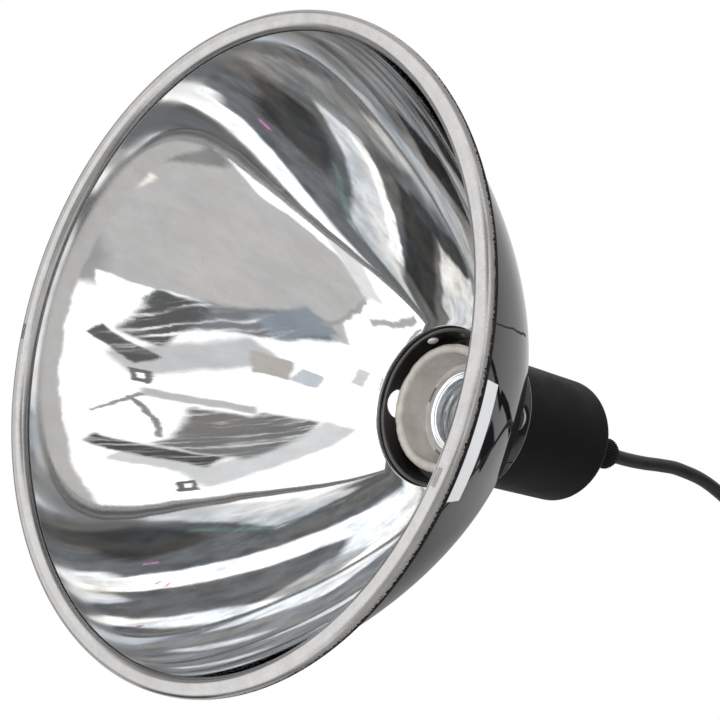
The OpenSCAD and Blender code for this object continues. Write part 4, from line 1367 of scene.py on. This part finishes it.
@dataclass
class Reflector:
    """Spun bowl with a rolled rim and a vented neck, bare inside and enamelled outside."""

    ring_r: float = 104.75 * MM
    bead_r: float = 3.25 * MM
    bead_z: float = 3.0 * MM
    mouth_r: float = 103.75 * MM
    sheet: float = 0.8 * MM
    bowl_h: float = 104.2 * MM
    skirt: float = 1.212
    crown: float = 1.77
    neck_r: float = 28.7 * MM
    vent_r: float = 5.25 * MM
    vent_z: float = 112.0 * MM
    vent_turn: float = 82.0
    vents: int = 4
    inner_z: float = 5.28 * MM
    outer_z: float = 5.8 * MM
    coat: float = 0.06 * MM
    coat_z: float = 6.2 * MM
    coat_turns: Span = (62, 116)
    coat_edge: float = 0.32 * MM
    sunk: float = 0.04 * MM
    sunk_z: float = 6.4 * MM
    steps: int = 240

    def bowl_r(self, z: float) -> float:
        """Outer radius of the bowl.

        Args:
            z: Height over the floor.

        Returns:
            The radius.
        """
        outer = self.neck_r + self.sheet
        reach = (self.bowl_h - self.bead_z) / (1 - (outer / self.mouth_r) ** self.crown) ** (1 / self.skirt)
        share = max((z - self.bead_z) / reach, 0.0)
        return self.mouth_r * (1 - share ** self.skirt) ** (1 / self.crown)

    def slope(self, z: float, small: float = 0.05 * MM) -> float:
        """How fast the bowl's radius changes with height."""
        return (self.bowl_r(z + small) - self.bowl_r(z - small)) / (2 * small)

    def wall(self, depth: float, steps: int, start: float) -> list[Point]:
        """A line inside the bowl's outer face, from its lower edge up to the neck.

        Args:
            depth: Distance inside the outer face, or outside it where it is below zero.
            steps: Number of steps.
            start: Height of the lower edge.

        Returns:
            The line's points.
        """
        line = []
        for i in range(steps + 1):
            z = start + (self.bowl_h - start) * i / steps
            slope = self.slope(z)
            size = math.hypot(1, slope)
            line.append((self.bowl_r(z) - depth / size, z + depth * slope / size))
        return line

    def rim(self, radius: float, start: float, end: float, steps: int) -> list[Point]:
        """Part of the rolled rim between two angles in degrees, flat where it stands on the floor."""
        return [(r, max(z, 0.0)) for r, z in arc((self.ring_r, self.bead_z), radius, start, end, steps)]

    def cut_vents(self, piece: Piece) -> None:
        """Cuts the vent holes through a wall at the neck."""
        turns = [self.vent_turn + 360 * i / self.vents for i in range(self.vents)]
        cut(piece, [rod(self.vent_r, 16 * MM, round_axis(t, self.neck_r, self.vent_z), round_axis(t, 1, 0))
                    for t in turns])

    def make_bowl(self) -> None:
        """Builds the bare sheet: mirror inside, satin on the rolled rim."""
        outer = self.wall(0, 40, self.outer_z)
        inner = self.wall(self.sheet, 96, self.inner_z)
        slope = (inner[-1][0] - inner[-2][0]) / (inner[-1][1] - inner[-2][1])
        edge_z = inner[-1][1] - (inner[-1][0] - self.neck_r) / slope
        leave, meet = (math.degrees(math.atan2(line[0][1] - self.bead_z, line[0][0] - self.ring_r))
                       for line in (inner, outer))
        rim = self.rim(self.bead_r, leave, meet + 360, 50)
        neck = [(self.neck_r + self.sheet, NECK_TOP, 0.25 * MM), (self.neck_r, NECK_TOP, 0.25 * MM),
                (self.neck_r, edge_z, 0.35 * MM)]
        bowl = turned("reflector_bowl", eased(outer + neck + inner[-2::-1] + rim[1:-1]), self.steps)
        self.cut_vents(bowl)
        smooth(bowl, 40)
        finish(bowl, MIRROR, "reflector")
        bowl.data.materials.append(RIM.material())
        for face in bowl.data.polygons:
            off_ring = math.hypot(from_axis(face.center) - self.ring_r, face.center.z - self.bead_z)
            outside = face.normal.dot(Vector((face.center.x, face.center.y, 0))) > 0
            face.material_index = int(off_ring < self.bead_r + 0.03 * MM or outside)

    def make_enamel(self) -> None:
        """Builds the black coat on the outside, down onto the back of the rolled rim."""
        low, high = self.coat_turns
        top = NECK_TOP - self.coat_edge
        outline = self.rim(self.bead_r + self.coat, low, high, 10) + self.wall(-self.coat, 60, self.coat_z)
        outline += [(self.neck_r + self.sheet + self.coat, top, 0.03 * MM)]
        outline += [(self.neck_r + self.sheet - self.sunk, top)]
        outline += self.wall(self.sunk, 30, self.sunk_z)[::-1]
        outline += self.rim(self.bead_r - self.sunk, high, low, 10)
        coat = turned("reflector_enamel", eased(outline, 2), self.steps)
        self.cut_vents(coat)
        smooth(coat, 40)
        finish(coat, ENAMEL, "reflector")


@dataclass
class Strip:
    """Blank pale strip that follows the outside of the bowl, near the rim."""

    turn: float = -87.0
    height: float = 15.3 * MM
    length: float = 35.0 * MM
    width: float = 13.0 * MM
    thick: float = 0.08 * MM
    gap: float = 0.01 * MM

    def make(self, bowl: Reflector) -> None:
        """Lays the strip on the bowl.

        Args:
            bowl: The bowl, which gives the surface.
        """
        deselect()
        bpy.ops.mesh.primitive_grid_add(x_subdivisions=40, y_subdivisions=10, size=1)
        piece = bpy.context.object
        piece.name = "blank_strip"
        piece.scale = (self.length, self.width, 1)
        settle(piece)
        slant = math.hypot(1, bowl.slope(self.height))
        lift = bowl.coat + self.gap
        for vertex in piece.data.vertices:
            z = self.height + vertex.co.y / slant
            slope = bowl.slope(z)
            size = math.hypot(1, slope)
            turn = self.turn + math.degrees(vertex.co.x / bowl.bowl_r(self.height))
            vertex.co = round_axis(turn, bowl.bowl_r(z) + lift / size, z - lift * slope / size)
        apply_modifier(piece, "SOLIDIFY", thickness=self.thick, offset=1.0)
        face_outwards(piece)
        smooth(piece)
        finish(piece, STRIP)


@dataclass
class Cap:
    """Moulded cap: a skirt inside the neck, a shoulder, a straight side and a low dome."""

    skirt_r: float = 28.6 * MM
    skirt_in: float = 27.0 * MM
    skirt_z: float = 105.5 * MM
    shoulder: float = 2.0 * MM
    foot_r: float = 23.5 * MM
    top_r: float = 23.2 * MM
    side_top: float = 172.5 * MM
    edge_r: float = 4.0 * MM
    wall: float = 2.0 * MM
    boss_r: float = 8.6 * MM
    boss_h: float = 3.2 * MM
    bore_r: float = 5.1 * MM
    rivet_z: float = 109.0 * MM
    rivet_turn: float = 144.0
    rivet_hole: float = 1.3 * MM
    rivet_out: float = 29.55 * MM
    head_r: float = 2.1 * MM
    head_h: float = 0.9 * MM
    tail_r: float = 2.2 * MM
    tail_h: float = 0.72 * MM
    shank_r: float = 1.2 * MM

    def crown(self) -> Point:
        """The low dome's circle.

        Returns:
            Its radius and the height of its centre.
        """
        slant = math.sin(math.radians(45))
        radius = (self.top_r - self.edge_r + self.edge_r * slant) / slant
        return radius, self.side_top + self.edge_r * slant - radius * slant

    def make(self, bowl: Reflector) -> None:
        """Turns the cap and cuts its vents.

        Args:
            bowl: The reflector, whose vents run through the skirt too.
        """
        radius, centre = self.crown()
        apex = centre + radius
        rest = math.degrees(math.acos(self.boss_r / radius))
        edge = (self.top_r - self.edge_r, self.side_top)
        inner_crown = arc((0, centre), radius - self.wall, rest, 45, 12)
        under = NECK_TOP - self.shoulder
        outline = [
            (self.skirt_in, self.skirt_z, 1.1 * MM), (self.skirt_r, self.skirt_z, 0.3 * MM),
            (self.skirt_r, NECK_TOP, 0.1 * MM), (self.foot_r, NECK_TOP, 1.0 * MM),
            *arc(edge, self.edge_r, 0, 45, 10), *arc((0, centre), radius, 45, rest, 24)[1:],
            (self.boss_r, apex, 0.2 * MM), (self.bore_r, apex, 0.2 * MM), (self.bore_r, apex - self.boss_h),
            (inner_crown[0][0], apex - self.boss_h), *inner_crown[1:],
            *arc(edge, self.edge_r - self.wall, 45, 0, 6)[1:],
            (self.foot_r - self.wall, under, 0.3 * MM), (self.skirt_in, under, 0.3 * MM),
        ]
        piece = turned("cap_moulding", eased(outline), 192)
        bowl.cut_vents(piece)
        cut(piece, [rod(self.rivet_hole, 6 * MM, round_axis(t, 27.8 * MM, self.rivet_z), round_axis(t, 1, 0))
                    for t in self.rivet_turns()])
        smooth(piece)
        finish(piece, BLACK, "cap")
        piece.data.materials.append(SKIRT.material())
        for face in piece.data.polygons:
            within = from_axis(face.center) < self.skirt_r - 0.2 * MM
            face.material_index = int(within and face.center.z < NECK_TOP - 0.5 * MM)

    def rivet_turns(self) -> Span:
        """The directions of the two rivets, in degrees."""
        return self.rivet_turn, self.rivet_turn + 180

    def make_rivets(self) -> None:
        """Builds two rivets: a domed head inside, a flatter one outside."""
        inner = self.skirt_in - 0.1 * MM
        quarter = [math.radians(a) for a in range(0, 91, 10)]
        head = [(self.head_r * math.cos(a), inner - self.head_h * math.sin(a)) for a in quarter[::-1]]
        tail = [(self.tail_r * math.cos(a), self.rivet_out + self.tail_h * math.sin(a)) for a in quarter]
        profile = head + [(self.shank_r, inner), (self.shank_r, self.rivet_out)] + tail
        parts = []
        for turn in self.rivet_turns():
            rivet = turned("rivet", profile, 40)
            rivet.matrix_world = Matrix.Translation((0, 0, self.rivet_z)) @ upright(round_axis(turn, 1, 0))
            settle(rivet)
            parts.append(rivet)
        piece = joined("neck_rivet_heads", parts)
        smooth(piece, 50)
        finish(piece, BARE, "neck_rivets")


@dataclass
class Socket:
    """Porcelain collar and body with a plated screw shell."""

    collar_r: float = 23.2 * MM
    mouth_r: float = 19.8 * MM
    lip_z: float = 108.1 * MM
    ledge_r: float = 18.2 * MM
    ledge_z: float = 118.5 * MM
    cavity_r: float = 14.1 * MM
    floor_z: float = 141.474 * MM
    well_r: float = 7.0 * MM
    well_z: float = 144.474 * MM
    body_r: float = 20.6 * MM
    top_z: float = 150.0 * MM
    collar_top: float = 116.9 * MM
    soft: float = 0.5 * MM
    notches: Triple = (18.0, 100.0, 215.0)
    notch: Triple = (5.1 * MM, 6 * MM, 3.1 * MM)
    notch_r: float = 15.65 * MM
    post: Triple = (-5.2 * MM, 0, 150 * MM)
    lumps: tuple[Span, ...] = ((300, 0.30 * MM), (90, 0.34 * MM))
    thread_r: float = 12.45 * MM
    thread_steps: int = 84
    pitch: float = 3.629 * MM
    land: float = 0.248
    depth: float = 0.85 * MM
    tin: float = 0.4 * MM
    shell_mouth: float = 16.8 * MM
    bead: tuple[Span, ...] = ((16.0, 0), (15.6, 0.42), (14.7, 0.42), (14.2, 0))
    first_z: float = 119.3 * MM
    foot_z: float = 141.074 * MM
    hole_r: float = 6.5 * MM

    def make_porcelain(self) -> None:
        """Turns the porcelain, cuts its notches and leaves the glaze a little lumpy at the lip."""
        lip_r = (self.collar_r - self.mouth_r) / 2
        soft, small = self.soft, 0.3 * MM
        outline = arc((self.mouth_r + lip_r, self.lip_z), lip_r, 0, -180, 20) + [
            (self.ledge_r, self.ledge_z, soft), (self.cavity_r, self.ledge_z, soft),
            (self.cavity_r, self.floor_z, soft), (self.well_r, self.floor_z, small),
            (self.well_r, self.well_z, small), (0, self.well_z), (0, self.top_z),
            (self.body_r, self.top_z, soft), (self.body_r, self.collar_top, 0.2 * MM),
            (self.collar_r, self.collar_top, soft),
        ]
        piece = turned("socket_porcelain", eased(outline), 128)
        cutters = []
        for turn in self.notches:
            deselect()
            bpy.ops.mesh.primitive_cube_add(size=1)
            block = bpy.context.object
            block.scale = self.notch
            block.location = round_axis(turn, self.notch_r, self.ledge_z + 1.45 * MM)
            block.rotation_euler = (0, 0, math.radians(turn))
            settle(block)
            cutters.append(block)
        cutters.append(rod(1.6 * MM, 14 * MM, Vector(self.post), Vector((0, 0, 1))))
        cut(piece, cutters)
        ease(piece, 0.25 * MM, 50)
        for vertex in piece.data.vertices:
            if vertex.co.z < self.lip_z + 1 * MM:
                swell = abs(sum(noise.noise(vertex.co * size) * reach for size, reach in self.lumps))
                spread(vertex, -swell)
                vertex.co.z += swell
        smooth(piece, 45)
        finish(piece, PORCELAIN, "socket_body")

    def wave(self, z: float, turn: float) -> float:
        """How far the thread stands out from its land.

        Args:
            z: Height over the floor.
            turn: Direction round the axis, in radians.

        Returns:
            The distance.
        """
        share = ((z - self.first_z) / self.pitch - turn / (2 * math.pi)) % 1.0
        round_share = 2 * math.pi * (share - self.land) / (1 - self.land)
        rise = 0.0 if share < self.land else 0.5 - 0.5 * math.cos(round_share)
        start = min(max((z - self.first_z + 0.3 * MM) / (1.2 * MM), 0), 1)
        end = min(max((self.foot_z - z) / MM, 0), 1)
        return self.depth * rise * start * end

    def make_shell(self) -> None:
        """Builds the plated screw shell with its flared mouth and its thread."""
        step = (self.foot_z - self.first_z) / self.thread_steps
        heights = [self.first_z + step * i for i in range(1, self.thread_steps)]
        low, back = self.ledge_z - self.tin, self.thread_r + self.tin
        round_off = 0.3 * MM
        outline = [(self.shell_mouth, self.ledge_z, 0.12 * MM), (self.shell_mouth, low, 0.12 * MM)]
        outline += [(r * MM, low - drop * MM, round_off) for r, drop in self.bead]
        outline += [(self.thread_r + 0.6 * MM, low, 0.5 * MM), *((self.thread_r, z) for z in heights)]
        outline += [(self.thread_r, self.foot_z, round_off), (self.hole_r, self.foot_z),
                    (self.hole_r, self.foot_z + self.tin), (back, self.foot_z + self.tin, round_off)]
        outline += [*((back, z) for z in heights[::-1]), (back + 0.6 * MM, self.ledge_z, round_off)]
        piece = turned("screw_shell_helix", eased(outline), 112)
        for vertex in piece.data.vertices:
            if self.thread_r - 0.1 * MM <= from_axis(vertex.co) <= back + 0.1 * MM:
                spread(vertex, self.wave(vertex.co.z, math.atan2(vertex.co.y, vertex.co.x)))
        smooth(piece, 40)
        finish(piece, NICKEL, "screw_shell")


class Core(Enum):
    """The cord's two cores, by the side of the lamp that they run to."""

    LIVE = -1
    NEUTRAL = 1


@dataclass
class InsideWork:
    """What the cap hides: terminals, strap, stem and the cord's end with its two cores."""

    sheath_end: float = 159.0 * MM
    screw_z: float = 154.2 * MM
    screw_y: float = 13.0 * MM

    def route(self, core: Core) -> list[Vector]:
        """The route of a core from the sheath's end to its terminal screw.

        Args:
            core: The core.

        Returns:
            The route's points.
        """
        top = self.sheath_end - 0.1 * MM
        route = ((1.3 * MM, top), (1.3 * MM, top - 1 * MM), (2.6 * MM, top - 2.9 * MM),
                 (5.4 * MM, self.screw_z + 0.6 * MM), (9 * MM, self.screw_z), (self.screw_y, self.screw_z),
                 (self.screw_y + 2.5 * MM, self.screw_z))
        return [Vector((0, core.value * y, z)) for y, z in route]

    def make(self) -> None:
        """Builds the cord's end and its cores, and dresses the pieces inside the cap."""
        rise = GLAND_TOP - self.sheath_end
        entry = [Vector((0, 0, self.sheath_end + rise * i / 8)) for i in range(9)]
        finish(strand("cord_inside", CORD_D, entry), JACKET, "cord_entry")
        finish(strand("live_core", CORE_D, self.route(Core.LIVE)), BLACK_CORE, "live_lead")
        finish(strand("neutral_core", CORE_D, self.route(Core.NEUTRAL)), WHITE_CORE, "neutral_lead")
        paint(GASKET, "socket_gasket")
        paint(BRASS, "centre_post", "contact_tongue", "live_terminal", "neutral_terminal")
        paint(ZINC, "terminal_screws", "bracket", "bracket_screws", "stem", "stem_nuts")
        paint(RUBBER, "cord_grommet")


@dataclass
class Gland:
    """Ribbed cord gland on the cap's top."""

    foot_bevel: float = 0.35
    nut_bevel: float = 0.12

    def make(self) -> None:
        """Dresses the foot and the ribbed nut."""
        dressed("gland_foot", BLACK, self.foot_bevel)
        dressed("gland_nut", BLACK, self.nut_bevel)


# Line switch, plug and tie

@dataclass
class LineSwitch:
    """Rocker switch on the cord."""

    core_end: float = 29.4 * MM
    core_z: float = 3.3 * MM
    side_y: float = 7.6 * MM
    contact_x: float = 7.5 * MM
    half_length: float = 31 * MM
    half_width: float = 13 * MM
    top: float = 18 * MM
    screw_x: float = 18 * MM
    window: Span = (11.5 * MM, 6.7 * MM)
    bevel: float = 0.3

    def placed(self, *points: Triple) -> list[Vector]:
        """Points of the switch's own frame, with X along the cord, in the lamp's frame."""
        spin = Matrix.Rotation(math.radians(SWITCH_TURN), 4, "Z")
        return [Vector((*SWITCH[:2], 0)) + spin @ Vector(point) for point in points]

    def own(self, *points: Vector) -> list[Vector]:
        """Points of the lamp's frame in the switch's own frame."""
        spin = Matrix.Rotation(math.radians(-SWITCH_TURN), 4, "Z")
        return [spin @ (point - Vector((*SWITCH[:2], 0))) for point in points]

    def end_of(self, side: int, hand: int) -> list[Triple]:
        """How a core dips from the cord's end to the switch's floor.

        Args:
            side: -1 for the lamp's end and 1 for the plug's end.
            hand: The side of the cord that the core lies on.

        Returns:
            The points, in the switch's own frame.
        """
        return [(side * self.core_end, hand * 1.3 * MM, SWITCH[2]),
                (side * (self.core_end - 3 * MM), hand * 1.5 * MM, SWITCH[2]),
                (side * 22 * MM, hand * 5 * MM, self.core_z + 1.5 * MM),
                (side * 17 * MM, hand * self.side_y, self.core_z)]

    def make_cores(self) -> list[Piece]:
        """The white core that runs through and the black one that the contacts part.

        Returns:
            The two curves.
        """
        through = self.placed(*self.end_of(-1, 1), (0, self.side_y, self.core_z), *self.end_of(1, 1)[::-1])
        stubs = [self.placed(*self.end_of(side, -1), (side * 13 * MM, -self.side_y, self.core_z),
                             (side * (self.contact_x + 1.9 * MM), -6.4 * MM, self.core_z),
                             (side * self.contact_x, -3.6 * MM, self.core_z),
                             (side * self.contact_x, -2.15 * MM, self.core_z)) for side in (-1, 1)]
        return [finish(strand("switch_white_core", CORE_D, through), WHITE_CORE, "switch_wires"),
                finish(strand("switch_black_cores", CORE_D, *stubs), BLACK_CORE, "switch_wires")]

    def on_end(self, one: Vector, other: Vector) -> bool:
        """Whether an edge stands upright at a corner of the end faces."""
        a, b = self.own(one, other)
        return (a.xy - b.xy).length < TOUCH and abs(a.x) > self.half_length - 0.1 * MM

    def on_side(self, one: Vector, other: Vector) -> bool:
        """Whether an edge stands upright at a corner of the long sides.

        Args:
            one: One end of the edge.
            other: The other end.

        Returns:
            True for such an edge.
        """
        a, b = self.own(one, other)
        inside = abs(a.x) < self.half_length - 2.5 * MM
        return (a.xy - b.xy).length < TOUCH and inside and abs(a.y) > self.half_width - 1.1 * MM

    def on_top(self, one: Vector, other: Vector) -> bool:
        """Whether an edge lies on the cover's outer top line."""
        return all(p.z > self.top - TOUCH and (abs(p.x) > self.window[0] or abs(p.y) > self.window[1])
                   for p in self.own(one, other))

    def on_floor(self, one: Vector, other: Vector) -> bool:
        """Whether an edge lies on the base's outer bottom line."""
        return all(p.z < TOUCH and math.hypot(abs(p.x) - self.screw_x, p.y) > 3 * MM
                   for p in self.own(one, other))

    def make(self) -> list[Piece | str]:
        """Dresses the switch.

        Returns:
            The switch's pieces and kept nodes.
        """
        sides = [Rounding(2.0 * MM, self.on_end), Rounding(5.0 * MM, self.on_side, 3.0)]
        floor, top = Rounding(1.4 * MM, self.on_floor, 60.0), Rounding(3.0 * MM, self.on_top, 60.0, 6)
        pieces = [
            dressed("switch_base", BLACK, self.bevel, [*sides, floor]),
            dressed("switch_cover", BLACK, self.bevel, [*sides, top]),
            dressed("switch_rocker", GLOSS_BLACK, self.bevel, body="rocker"),
        ]
        paint(BRASS, "switch_contacts", "switch_lever")
        paint(ZINC, "switch_screws")
        return pieces + self.make_cores() + ["switch_contacts", "switch_lever", "switch_screws"]


@dataclass
class Plug:
    """Moulded two-blade plug: ringed sleeve, swelling shoulder and a body with grip grooves."""

    sleeve: float = 14 * MM
    sleeve_r: Span = (3.65 * MM, 4.6 * MM)
    rings: int = 5
    ring_depth: float = 0.45 * MM
    shoulder: tuple[Section, ...] = (
        (0.4, 5.2, 5.0, 2.0), (1.6, 6.2, 5.8, 2.2), (3.5, 7.9, 6.8, 2.5), (6, 9.8, 7.5, 2.9),
        (9, 11.4, 7.9, 3.4), (12, 12.3, 8, 4))
    grip: Span = (14 * MM, 24 * MM)
    grooves: int = 5
    groove_depth: float = 0.55 * MM
    front: tuple[Span, ...] = ((0.0, 1.6), (0.25, 0.75), (0.7, 0.2), (1.3, 0.0))
    half: Span = (12.5 * MM, 8 * MM)
    length: float = 28 * MM
    square: float = 4.5
    sides: int = 72
    blade_bevel: float = 0.2

    def stations(self) -> list[Section]:
        """The plug's sections.

        Returns:
            How far along, half width, half height and squareness of each.
        """
        small, large = self.sleeve_r
        rows = []
        for i in range(self.rings * 4 + 1):
            t = i / (self.rings * 4)
            radius = small + (large - small) * t - (self.ring_depth if i % 4 in (2, 3) else 0)
            rows.append((-self.sleeve * (1 - t), radius, radius, 2.0))
        rows += [(x * MM, wide * MM, high * MM, square) for x, wide, high, square in self.shoulder]
        start, end = self.grip
        wide, high = self.half
        for i in range(self.grooves * 4 + 1):
            groove = self.groove_depth if i % 4 in (2, 3) else 0
            rows.append((start + (end - start) * i / (self.grooves * 4), wide - groove, high, self.square))
        for inset, back in self.front:
            rows.append((self.length - back * MM, wide - inset * MM, high - inset * MM, self.square))
        return rows

    def make_body(self) -> Piece:
        """Builds the body by extruding a circle and shaping each of its rings.

        Returns:
            The plug's body.
        """
        rows = self.stations()
        deselect()
        bpy.ops.mesh.primitive_circle_add(vertices=self.sides, radius=MM, fill_type="NGON",
                                          location=(0, 0, 0))
        piece = bpy.context.object
        piece.name = "plug_moulding"
        with editing(piece):
            for _ in rows[1:]:
                bpy.ops.mesh.extrude_region_move(TRANSFORM_OT_translate={"value": (0, 0, MM)})
        face_outwards(piece)
        for vertex in piece.data.vertices:
            along, wide, high, square = rows[round(vertex.co.z / MM)]
            turn = math.atan2(vertex.co.y, vertex.co.x)
            c, s = math.cos(turn), math.sin(turn)
            reach = (abs(c) ** square + abs(s) ** square) ** (-1 / square)
            vertex.co = Vector(PLUG) + Vector((wide * reach * c, -along, high * reach * s))
        face_outwards(piece)
        smooth(piece, 40)
        return finish(piece, BLACK, "plug_body")

    def make(self) -> list[Piece]:
        """Builds the body and dresses the blades."""
        return [self.make_body(), dressed("plug_blades", ZINC, self.blade_bevel)]


@dataclass
class CoilTie:
    """Soft strap round the coil's turns, its end lapped over on top."""

    place: Point = (0.21308, 0.08561)
    width: float = 8 * MM
    outer: Span = (21.1 * MM, 13.5 * MM)
    bends: Span = (3.8 * MM, 3.0 * MM)
    bevel: float = 0.15
    lap: Triple = (7.4 * MM, 12 * MM, 0.6 * MM)
    lap_lift: float = 0.2 * MM
    lap_end: float = 2.2 * MM

    def corner(self, one: Vector, other: Vector, outside: bool) -> bool:
        """Whether an edge runs across the strap at one of its bends.

        Args:
            one: One end of the edge.
            other: The other end.
            outside: Whether the bend's outer edge is asked for.

        Returns:
            True for such an edge.
        """
        across = abs(one.x - other.x) > self.width - 0.1 * MM
        is_outer = abs(abs(one.y - self.place[1]) - self.outer[0] / 2) < 0.2 * MM
        return across and is_outer == outside

    def at_lap_end(self, one: Vector, other: Vector) -> bool:
        """Whether an edge stands upright at the free end of the lap."""
        return (one.xy - other.xy).length < TOUCH and one.y > self.place[1]

    def make(self) -> Piece:
        """Dresses the strap and adds its lapped end.

        Returns:
            The tie.
        """
        piece = dressed("cord_tie", TIE, self.bevel, [
            Rounding(self.bends[0], lambda a, b: self.corner(a, b, True), 60.0, 8),
            Rounding(self.bends[1], lambda a, b: self.corner(a, b, False), 60.0, 8)])
        deselect()
        top = self.outer[1] + self.lap_lift
        bpy.ops.mesh.primitive_cube_add(size=1, location=(*self.place, top), scale=self.lap)
        lap = bpy.context.object
        settle(lap)
        Rounding(self.lap_end, self.at_lap_end, 60.0, 6).apply(lap)
        ease(lap, self.bevel * MM)
        lap.data.materials.clear()
        lap.data.materials.append(TIE.material())
        smooth(lap)
        return joined("cord_tie_dressed", [piece, lap])


def main() -> None:
    """Builds the scene piece by piece."""
    logging.basicConfig(level=logging.INFO, format="%(name)s: %(message)s")
    PhotoCamera().make()
    cord = MainsCord()
    stretches = cord.make()
    switch = LineSwitch().make()
    plug = [*Plug().make(), CoilTie().make()]
    cord.declare(stretches)
    Studio().make()
    bowl = Reflector()
    bowl.make_bowl()
    bowl.make_enamel()
    Strip().make(bowl)
    cap = Cap()
    cap.make(bowl)
    cap.make_rivets()
    socket = Socket()
    socket.make_porcelain()
    socket.make_shell()
    Gland().make()
    InsideWork().make()
    deselect()


if __name__ == "__main__":
    main()
